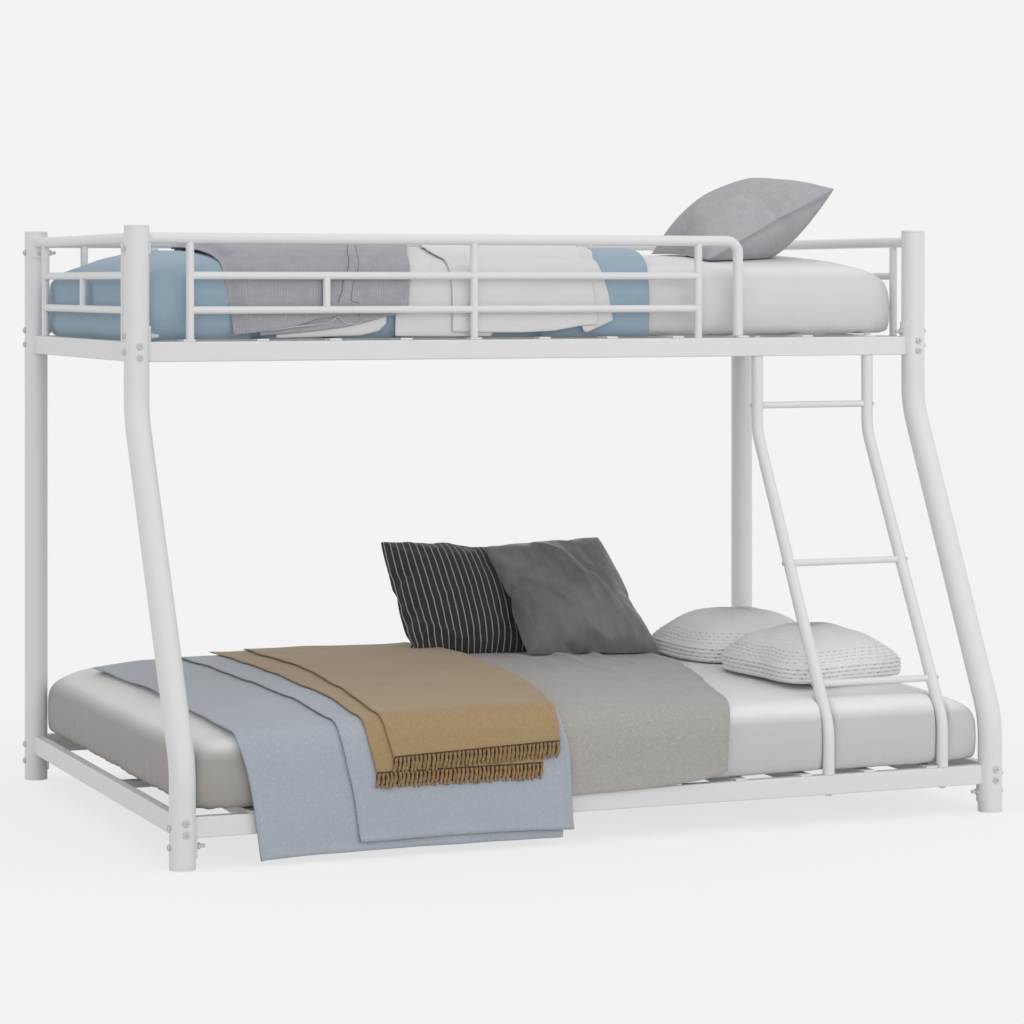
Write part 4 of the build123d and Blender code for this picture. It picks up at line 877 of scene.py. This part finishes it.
blanketForm = {"hem": 1.1225, "thickness": 0.0030, "slant": 0.30, "edgeHeights": (1.115, 1.196),
               "edgeXs": (0.286, 0.283), "stack": 0.0105, "bulk": 0.0075, "tuck": (0.075, 0.0007),
               "straightCrease": (0.872, 0.05, 0.010, 0.0035), "bowedCrease": (0.940, 6.0, 0.007, 0.0045)}


def blanketEdge(spots):  # the x of its right edge, which runs aslant over the top
    across = np.interp(spots[:, 2], blanketForm["edgeHeights"], blanketForm["edgeXs"])
    return across + blanketForm["slant"] * np.clip(spots[:, 1] + 0.255, 0, 0.45)


blanket = remeshed("upper_mattress", "upperBlanket", "blueCotton")
spots = vertexArray(blanket.data)
spots[:, 0] -= blanketEdge(spots)
storeVertices(blanket.data, spots)
cutAlong(blanket, (0, 0, 0), (1, 0, 0))
cutAlong(blanket, (0, 0, blanketForm["hem"]), (0, 0, -1))
spots = vertexArray(blanket.data)
spots[:, 0] += blanketEdge(spots)
storeVertices(blanket.data, spots)
spots, ways = vertexArray(blanket.data), normalArray(blanket.data)
x, y, z = spots.T
drapes = smoothStep(1.29 - z, 0.0, 0.08)
length, high = blanketForm["tuck"]
tuck = waves(y * 0.6 + x * 0.6, z * 0.18, length, 77, 4) * high * drapes
place, slant, width, high = blanketForm["straightCrease"]
crease = high * np.exp(-((x + place + slant * (z - 1.2)) / width) ** 2) * drapes
place, bow, width, high = blanketForm["bowedCrease"]
crease = crease + high * np.exp(-((x + place + bow * (z - 1.196) ** 2) / width) ** 2) * drapes
stack = blanketForm["stack"] * smoothStep(x, 0.04, 0.17) * smoothStep(z, 1.285, 1.305)
bulk = blanketForm["bulk"] * smoothStep(-x, 0.90, 0.950) * (1 - 0.5 * smoothStep(z, 1.26, 1.30))
lift = 0.0004 + settled("upper", x, z - y) * 0.55 + np.clip(tuck, -0.0002, 0.002) + crease + stack + bulk
storeVertices(blanket.data, spots + ways * lift[:, None])
storeUvs(blanket.data, np.stack([x - z * 0.001, np.where(z > 1.28, y, y - z)], axis=-1))
solid = blanket.modifiers.new("thick", "SOLIDIFY")
solid.thickness, solid.offset = blanketForm["thickness"], 1.0
settleModifiers(blanket)
print("blanket laid")


def poseMatrix(place, turn, lean, slump=0.0):
    base = Matrix.Rotation(radians(turn), 3, "Z") @ Matrix.Rotation(radians(90 - lean), 3, "X")
    side, rise, face = (base @ Vector(v) for v in ((1, 0, 0), (0, 1, 0), (0, 0, 1)))
    up = rise * cos(radians(slump)) - side * sin(radians(slump))
    return np.array([side, up, face]), np.array(place)


def flatPillow(name, size, bow, material, pitch=0.0062):  # two flat sheets that share their rim
    width, height, _ = size
    columns, rows = int(width / pitch) + 1, int(height / pitch) + 1
    us, vs = np.linspace(-0.5, 0.5, columns), np.linspace(-0.5, 0.5, rows)
    verts, uvs, index = [], [], {}
    for side in (1, -1):
        for i, u in enumerate(us):
            for j, v in enumerate(vs):
                rim = i in (0, columns - 1) or j in (0, rows - 1)
                if rim and side < 0:
                    index[side, i, j] = index[1, i, j]
                    continue
                pull = 1 + bow * (1 - (2 * v) ** 2), 1 + bow * (1 - (2 * u) ** 2)
                index[side, i, j] = len(verts)
                verts.append((u * width * pull[0], v * height * pull[1], 0.0 if rim else side * 0.002))
                uvs.append((u * width, v * height + (0 if side > 0 else 2.0)))
    faces = []
    for side in (1, -1):
        for i in range(columns - 1):
            for j in range(rows - 1):
                cell = tuple(index[side, i + a, j + b] for a, b in ((0, 0), (1, 0), (1, 1), (0, 1)))
                faces.append(cell if side > 0 else cell[::-1])
    return meshObject(name, verts, faces, material, uvs)


def puff(obj, pressure, frames, bending):  # blows it up as cloth
    cloth = obj.modifiers.new("puff", "CLOTH")
    settings = cloth.settings
    settings.quality, settings.mass = 6, 0.25
    settings.tension_stiffness = settings.compression_stiffness = 12.0
    settings.shear_stiffness, settings.bending_stiffness = 4.8, bending
    settings.air_damping = 2.0
    settings.use_pressure, settings.uniform_pressure_force = True, pressure
    settings.effector_weights.gravity = 0.0
    cloth.collision_settings.use_collision = cloth.collision_settings.use_self_collision = False
    cloth.point_cache.frame_start, cloth.point_cache.frame_end = 1, frames
    for step in range(1, frames + 1):
        scene.frame_set(step)
    settleModifiers(obj)
    scene.frame_set(1)


def lensForm(spots, size):  # a plain pillow, thickest in its middle
    width, height, thickness = size
    u, v = spots[:, 0] / (width / 2), spots[:, 1] / (height / 2)
    swell = np.clip(1 - u ** 2, 0, 1) ** 0.55 * np.clip(1 - v ** 2, 0, 1) ** 0.55
    out = spots.copy()
    out[:, 2] = np.sign(spots[:, 2]) * thickness / 2 * swell
    return out


def fitLocal(spots, size):  # brings the puffed form to its size
    out = spots.copy()
    for k in range(3):
        low, high = out[:, k].min(), out[:, k].max()
        out[:, k] = (out[:, k] - (low + high) / 2) * size[k] / (high - low)
    return out


def cornered(spots, size, moves):
    u, v = spots[:, 0] / size[0] + 0.5, spots[:, 1] / size[1] + 0.5
    out = spots.copy()
    for (right, high), move in moves.items():
        share = (u if right else 1 - u) * (v if high else 1 - v)
        out[:, :2] += share[:, None] * np.array(move)
    return out


def creased(spots, size, creases):
    out = spots.copy()
    inner = (1 - (2 * spots[:, 0] / size[0]) ** 6).clip(0) * (1 - (2 * spots[:, 1] / size[1]) ** 6).clip(0)
    for line, width, height in creases:
        nearest = np.full(len(spots), 9.0)
        for (ax, ay), (bx, by) in zip(line, line[1:]):
            way = np.array([bx - ax, by - ay])
            off = spots[:, :2] - np.array([ax, ay])
            share = (off @ way / (way @ way)).clip(0, 1)
            nearest = np.minimum(nearest, np.linalg.norm(off - share[:, None] * way, axis=1))
        out[:, 2] += height * np.exp(-(nearest / width) ** 2) * inner * (spots[:, 2] > 0)
    return out


def restOn(spots, level, clearance):  # flattens what would sink into the mattress
    floor = bedTop(beds[level], spots[:, 0], spots[:, 1]) + clearance
    depth = floor - spots[:, 2]
    out = spots.copy()
    out[:, 2] = np.where(depth > 0, floor, spots[:, 2])
    return out


# pose: turn, lean and slump in degrees; plump: the share of a plain lens in the form; the moves of the
# corners and the creases are in the pillow's own plane
pillows = {
    "upperPillow": {
        "node": "upper_pillow", "slot": "mauve_grey_linen", "material": "mauveLinen", "level": "upper",
        "size": (0.38, 0.384, 0.212), "place": (0.668, 0.02, 1.396), "pose": (-90.0, 63.0, 0.0),
        "pressure": 10.0, "frames": 26, "grow": 1.08, "clearance": 0.0008, "fill": 0.85, "seed": 5,
        "bow": 0.04, "bending": 4.0, "plump": 0.62,
        "corners": {(0, 1): (0.05, -0.06), (1, 0): (0.0, -0.012)},
        "creases": [([(0.15, 0.15), (0.06, 0.05), (0.02, -0.06), (0.03, -0.14)], 0.02, 0.006)]},
    "stripedPillow": {
        "node": "striped_pillow", "slot": "charcoal_pinstripe", "material": "pinstripe", "level": "lower",
        "size": (0.345, 0.328, 0.16), "place": (0.042, 0.396, 0.446), "pose": (-6.0, 33.0, 5.0),
        "pressure": 4.0, "frames": 22, "grow": 1.05, "clearance": 0.0085, "fill": 0.6, "seed": 6,
        "bow": 0.08, "bending": 0.8, "plump": 0.2,
        "corners": {(0, 1): (0.006, -0.002), (0, 0): (0.01, -0.012), (1, 1): (-0.018, -0.022),
                    (1, 0): (0.0, -0.012)},
        "creases": [([(-0.135, -0.09), (-0.104, -0.105), (-0.033, -0.133), (0.034, -0.15)], 0.009,
                     0.0095), ([(-0.11, -0.04), (-0.06, -0.024), (0.019, -0.006)], 0.007, 0.005),
                    ([(-0.172, 0.07), (-0.13, 0.052)], 0.009, -0.006),
                    ([(-0.172, -0.045), (-0.125, -0.04)], 0.009, -0.006)]},
    "velvetPillow": {
        "node": "velvet_pillow", "slot": "grey_velvet", "material": "velvet", "level": "lower",
        "size": (0.322, 0.352, 0.152), "place": (0.297, 0.25, 0.444), "pose": (-12.0, 36.0, 15.0),
        "pressure": 3.6, "frames": 22, "grow": 1.05, "clearance": 0.0095, "fill": 0.55, "seed": 7,
        "bow": 0.07, "bending": 0.8, "plump": 0.3,
        "corners": {(0, 1): (-0.002, -0.012), (1, 1): (-0.015, 0.011), (1, 0): (0.012, 0.0),
                    (0, 0): (-0.012, 0.004)},
        "creases": [([(-0.035, 0.155), (0.012, 0.105), (0.038, 0.032), (0.043, -0.025), (0.05, -0.075)],
                     0.012, 0.0135), ([(0.062, 0.025), (0.086, -0.05), (0.105, -0.137)], 0.009, 0.01),
                    ([(-0.129, 0.038), (-0.1, 0.025), (-0.054, -0.013), (-0.017, -0.056)], 0.01, 0.0105),
                    ([(0.106, 0.161), (0.08, 0.12), (0.085, 0.08)], 0.013, -0.0105),
                    ([(-0.06, 0.09), (-0.02, 0.03), (0.0, -0.03)], 0.02, -0.009),
                    ([(-0.148, 0.12), (-0.14, 0.0), (-0.128, -0.12)], 0.006, 0.004)]},
}
for name, piece in pillows.items():
    size = piece["size"]
    grown = tuple(s * piece["grow"] for s in size)
    obj = flatPillow(name, grown, piece["bow"], piece["material"])
    spots = vertexArray(obj.data)
    lens = lensForm(spots * (np.array(size) / np.array(grown)), size)
    inside = np.abs(spots[:, 2]) > 0
    spots[:, 2] += 0.0015 * waves(spots[:, 0], spots[:, 1], 0.07, piece["seed"]) * inside
    storeVertices(obj.data, spots)
    puff(obj, piece["pressure"], piece["frames"], piece["bending"])
    spots = fitLocal(vertexArray(obj.data), size) * (1 - piece["plump"]) + lens * piece["plump"]
    spots = creased(spots, size, piece["creases"])
    spots = cornered(spots, size, piece["corners"])
    base, place = poseMatrix(piece["place"], *piece["pose"])
    spots = spots @ base + place
    storeVertices(obj.data, restOn(spots, piece["level"], piece["clearance"]))
    divide = obj.modifiers.new("fine", "SUBSURF")
    divide.levels = divide.render_levels = 1
    settleModifiers(obj)
    smoothShade(obj.data)
    piece["obj"] = obj
print("pillows puffed")


# pull: the heading of a corner that is drawn out, its spread in degrees, and how far
knits = {
    "knitPillowBack": {"node": "knit_pillow_back", "place": (0.692, 0.096, 0.325), "turn": 4.0,
                       "seed": 15, "pull": (195.0, 48.0, 0.13), "low": 0.965},
    "knitPillowFront": {"node": "knit_pillow_front", "place": (0.690, -0.318, 0.325), "turn": 8.0,
                        "seed": 16, "pull": (229.0, 22.0, 0.17), "low": 0.985},
}
knitSize, knitEdge, knitPower, knitAround = (0.350, 0.375, 0.194), 0.040, 4.4, 420
knitRepeat = 0.078  # a whole number of beads and of dashes, so the pattern closes
# heights of the rolls, beads, ridges and swells, and depths of the grooves and of the gaps, whose dark
# colour is painted shade
knitForm = {"roll": 0.0030, "bead": 0.0013, "ridge": 0.0010, "ridgePitch": 0.0125, "swell": 0.0018,
            "groove": 0.0022, "gap": 0.0060}
knitBend = 0.975  # the share of the half width at which the top bends into the side


def knitProfile():
    shares = np.sin(np.linspace(0, 1, 120) * pi / 2) ** 0.9 * knitBend
    rise = (knitSize[2] - knitEdge) / 2
    dome = [(s, knitEdge / 2 + rise * (1 - (s / knitBend) ** 2.3) ** 0.85) for s in shares]
    side = [(knitBend + 0.025 * cos(a) ** 0.7, knitEdge / 2 * sin(a))
            for a in np.linspace(pi / 2, -pi / 2, 60)[1:-1]]
    under = [(s, -knitEdge / 2 - 0.006 * (1 - s / knitBend)) for s in np.linspace(knitBend, 0.0, 24)]
    return np.array(dome + side + under), len(dome)


def knitOutline(heading, spread, share):  # a rounded square, with one corner drawn out
    angles = np.linspace(0, 2 * pi, knitAround + 1)
    sides = ((np.cos(angles), knitSize[0]), (np.sin(angles), knitSize[1]))
    outline = np.stack([np.sign(wave) * np.abs(wave) ** (2 / knitPower) * across / 2
                        for wave, across in sides], axis=-1)
    away = (np.degrees(np.arctan2(outline[:, 1], outline[:, 0])) - heading + 180) % 360 - 180
    return outline * (1 + share * np.exp(-(away / spread) ** 2))[:, None]


profile, domeCount = knitProfile()
reach = runAlong(profile * (knitSize[0] / 2, 1.0))
mid = reach[domeCount]
for name, piece in knits.items():
    outline = knitOutline(*piece["pull"])
    run = runAlong(outline)
    run *= round(run[-1] / knitRepeat) * knitRepeat / run[-1]
    outward = outline / np.linalg.norm(outline, axis=1)[:, None]
    verts, uvs = [], []
    for k, (share, rise) in enumerate(profile):
        row = (reach[k] - mid) / knitRow
        ribbed = smoothStep(row, -5.5, -2.5) * (1 - smoothStep(row, 4.5, 5.5))
        bead = 0.5 + 0.5 * np.sin(run * 2 * pi / knitBead + round(row - 0.5) * pi)
        crest = abs(sin(pi * row))
        bulge = ribbed * (knitForm["roll"] * crest ** 0.7 + knitForm["bead"] * bead * crest)
        gap = exp(-(sin(pi * row) / 0.30) ** 2) * ribbed
        dash = np.clip(np.sin(run * 2 * pi / knitDash + round(row) * dashShift), 0, 1) ** 4
        ridge = np.abs(np.sin(outline[:, 0] * share * pi / knitForm["ridgePitch"])) * (1 - ribbed)
        swell = knitForm["swell"] * waves(*(outline * share).T, 0.13, piece["seed"]) * (k < domeCount)
        out = bulge - knitForm["groove"] * ribbed - knitForm["gap"] * gap * dash
        lean = 0.35 if k < domeCount else 1.0
        ring = outline * share + outward * (out * lean)[:, None]
        rise = rise * piece["low"] + knitForm["ridge"] * ridge + swell + out * (1 - lean) * 0.9
        verts.append(np.column_stack([ring, rise]))
        uvs.append(np.column_stack([run, np.full(knitAround + 1, reach[k] - mid)]))
    faces = []
    for r in range(len(profile) - 1):
        for k in range(knitAround):
            near, far = r * (knitAround + 1) + k, (r + 1) * (knitAround + 1) + k
            faces.append((near, far, far + 1, near + 1))
    base, place = poseMatrix(piece["place"], piece["turn"], 90.0)
    spots = restOn(np.concatenate(verts) @ base + place, "lower", 0.0012)
    obj = meshObject(name, spots, faces, "knitYarn", np.concatenate(uvs))
    obj.modifiers.new("weld", "WELD").merge_threshold = 0.00002  # closes the seam and the poles
    settleModifiers(obj)
    piece["obj"] = obj
print("knitted pillows made")


for name, piece in mattresses.items():
    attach(piece["obj"], "root")
    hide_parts(piece["node"])
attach(blanket, "root")
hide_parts("upper_blanket")
for key, piece in throws.items():
    made = clothObjects[key]
    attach(made["obj"], "root")
    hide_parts(piece["node"])
    for helper in made["helpers"]:
        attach(helper, "root")
for name, piece in {**pillows, **knits}.items():
    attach(piece["obj"], "root")
    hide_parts(piece["node"])
print("pieces declared")


def grey(level):
    return (level, level, level, 1.0)


def emptyTree(owner):
    owner.use_nodes = True
    owner.node_tree.nodes.clear()
    return owner.node_tree


def seenPlain(tree):  # the camera, mirrors and glass see a plain background, and the bed sees the light
    rays = tree.nodes.new("ShaderNodeLightPath").outputs
    seen = Sock(tree, rays["Is Camera Ray"])
    for kind in ("Is Glossy Ray", "Is Transmission Ray"):
        seen = seen.calc("MAXIMUM", Sock(tree, rays[kind]))
    return seen


pale = grey(0.896)
floor = meshObject("studioFloor", [(-30, -30, 0), (30, -30, 0), (30, 30, 0), (-30, 30, 0)],
                   [(0, 1, 2, 3)], "whitePlastic")
floorMaterial = bpy.data.materials.new("studioFloor")
tree = emptyTree(floorMaterial)
spots, seen = Sock(tree, tree.nodes.new("ShaderNodeTexCoord").outputs["Object"]), seenPlain(tree)
away = ramp(spots.via("ShaderNodeVectorMath", {0: spots}, 1, operation="LENGTH"), 1.3, 2.8)
matt = spots.via("ShaderNodeBsdfDiffuse", {"Color": grey(0.8)})
thin = spots.via("ShaderNodeBsdfDiffuse", {"Color": grey(0.18)})
glow = spots.via("ShaderNodeEmission", {"Color": pale, "Strength": 0.80})
clear = spots.via("ShaderNodeEmission", {"Color": pale, "Strength": 1.0})
near = spots.via("ShaderNodeAddShader", {0: thin, 1: glow})  # keeps the bed's shadow
shown = spots.via("ShaderNodeMixShader", {0: away, 1: near, 2: clear})
final = spots.via("ShaderNodeMixShader", {0: seen, 1: matt, 2: shown})
tree.links.new(final.out, tree.nodes.new("ShaderNodeOutputMaterial").inputs["Surface"])
floor.data.materials.clear()
floor.data.materials.append(floorMaterial)

scene.world = bpy.data.worlds.new("studio")
tree = emptyTree(scene.world)
seen = seenPlain(tree)
soft = seen.via("ShaderNodeBackground", {"Color": grey(0.805), "Strength": 0.98})
plain = seen.via("ShaderNodeBackground", {"Color": pale, "Strength": 1.0})
sky = seen.via("ShaderNodeMixShader", {0: seen, 1: soft, 2: plain})
tree.links.new(sky.out, tree.nodes.new("ShaderNodeOutputWorld").inputs["Surface"])


def hang(name, data, place, way):  # a lamp that shines along a way
    obj = bpy.data.objects.new(name, data)
    obj.location = place
    obj.rotation_euler = Vector(way).to_track_quat("-Z", "Y").to_euler()
    scene.collection.objects.link(obj)


lamps = {
    "keyLamp": {"place": (3.2, -5.2, 3.6), "aim": (0.1, 0.0, 0.5), "size": 4.2, "power": 50.0},
    "topLamp": {"place": (0.3, -0.4, 5.0), "aim": (0.0, 0.0, 0.6), "size": 4.5, "power": 27.0},
}
for name, lamp in lamps.items():
    light = bpy.data.lights.new(name, "AREA")
    light.shape, light.size, light.energy = "SQUARE", lamp["size"], lamp["power"]
    hang(name, light, lamp["place"], Vector(lamp["aim"]) - Vector(lamp["place"]))
fill = bpy.data.lights.new("fillLamp", "SUN")
fill.energy, fill.angle = 0.62, radians(50)
hang("fillLamp", fill, (0.0, 0.0, 0.0), (0.30, 0.90, -0.12))

camera = bpy.data.cameras.new("photoCamera")
camera.sensor_width, camera.lens, camera.shift_y = 36.0, 110.26, -0.2234
eye = bpy.data.objects.new("photoCamera", camera)
eye.location = (-2.8421, -7.0972, 1.2456)
eye.rotation_euler = (radians(90), 0.0, radians(-22.08))
scene.collection.objects.link(eye)
scene.camera = eye
scene.view_settings.view_transform = "Standard"
print("studio lit")
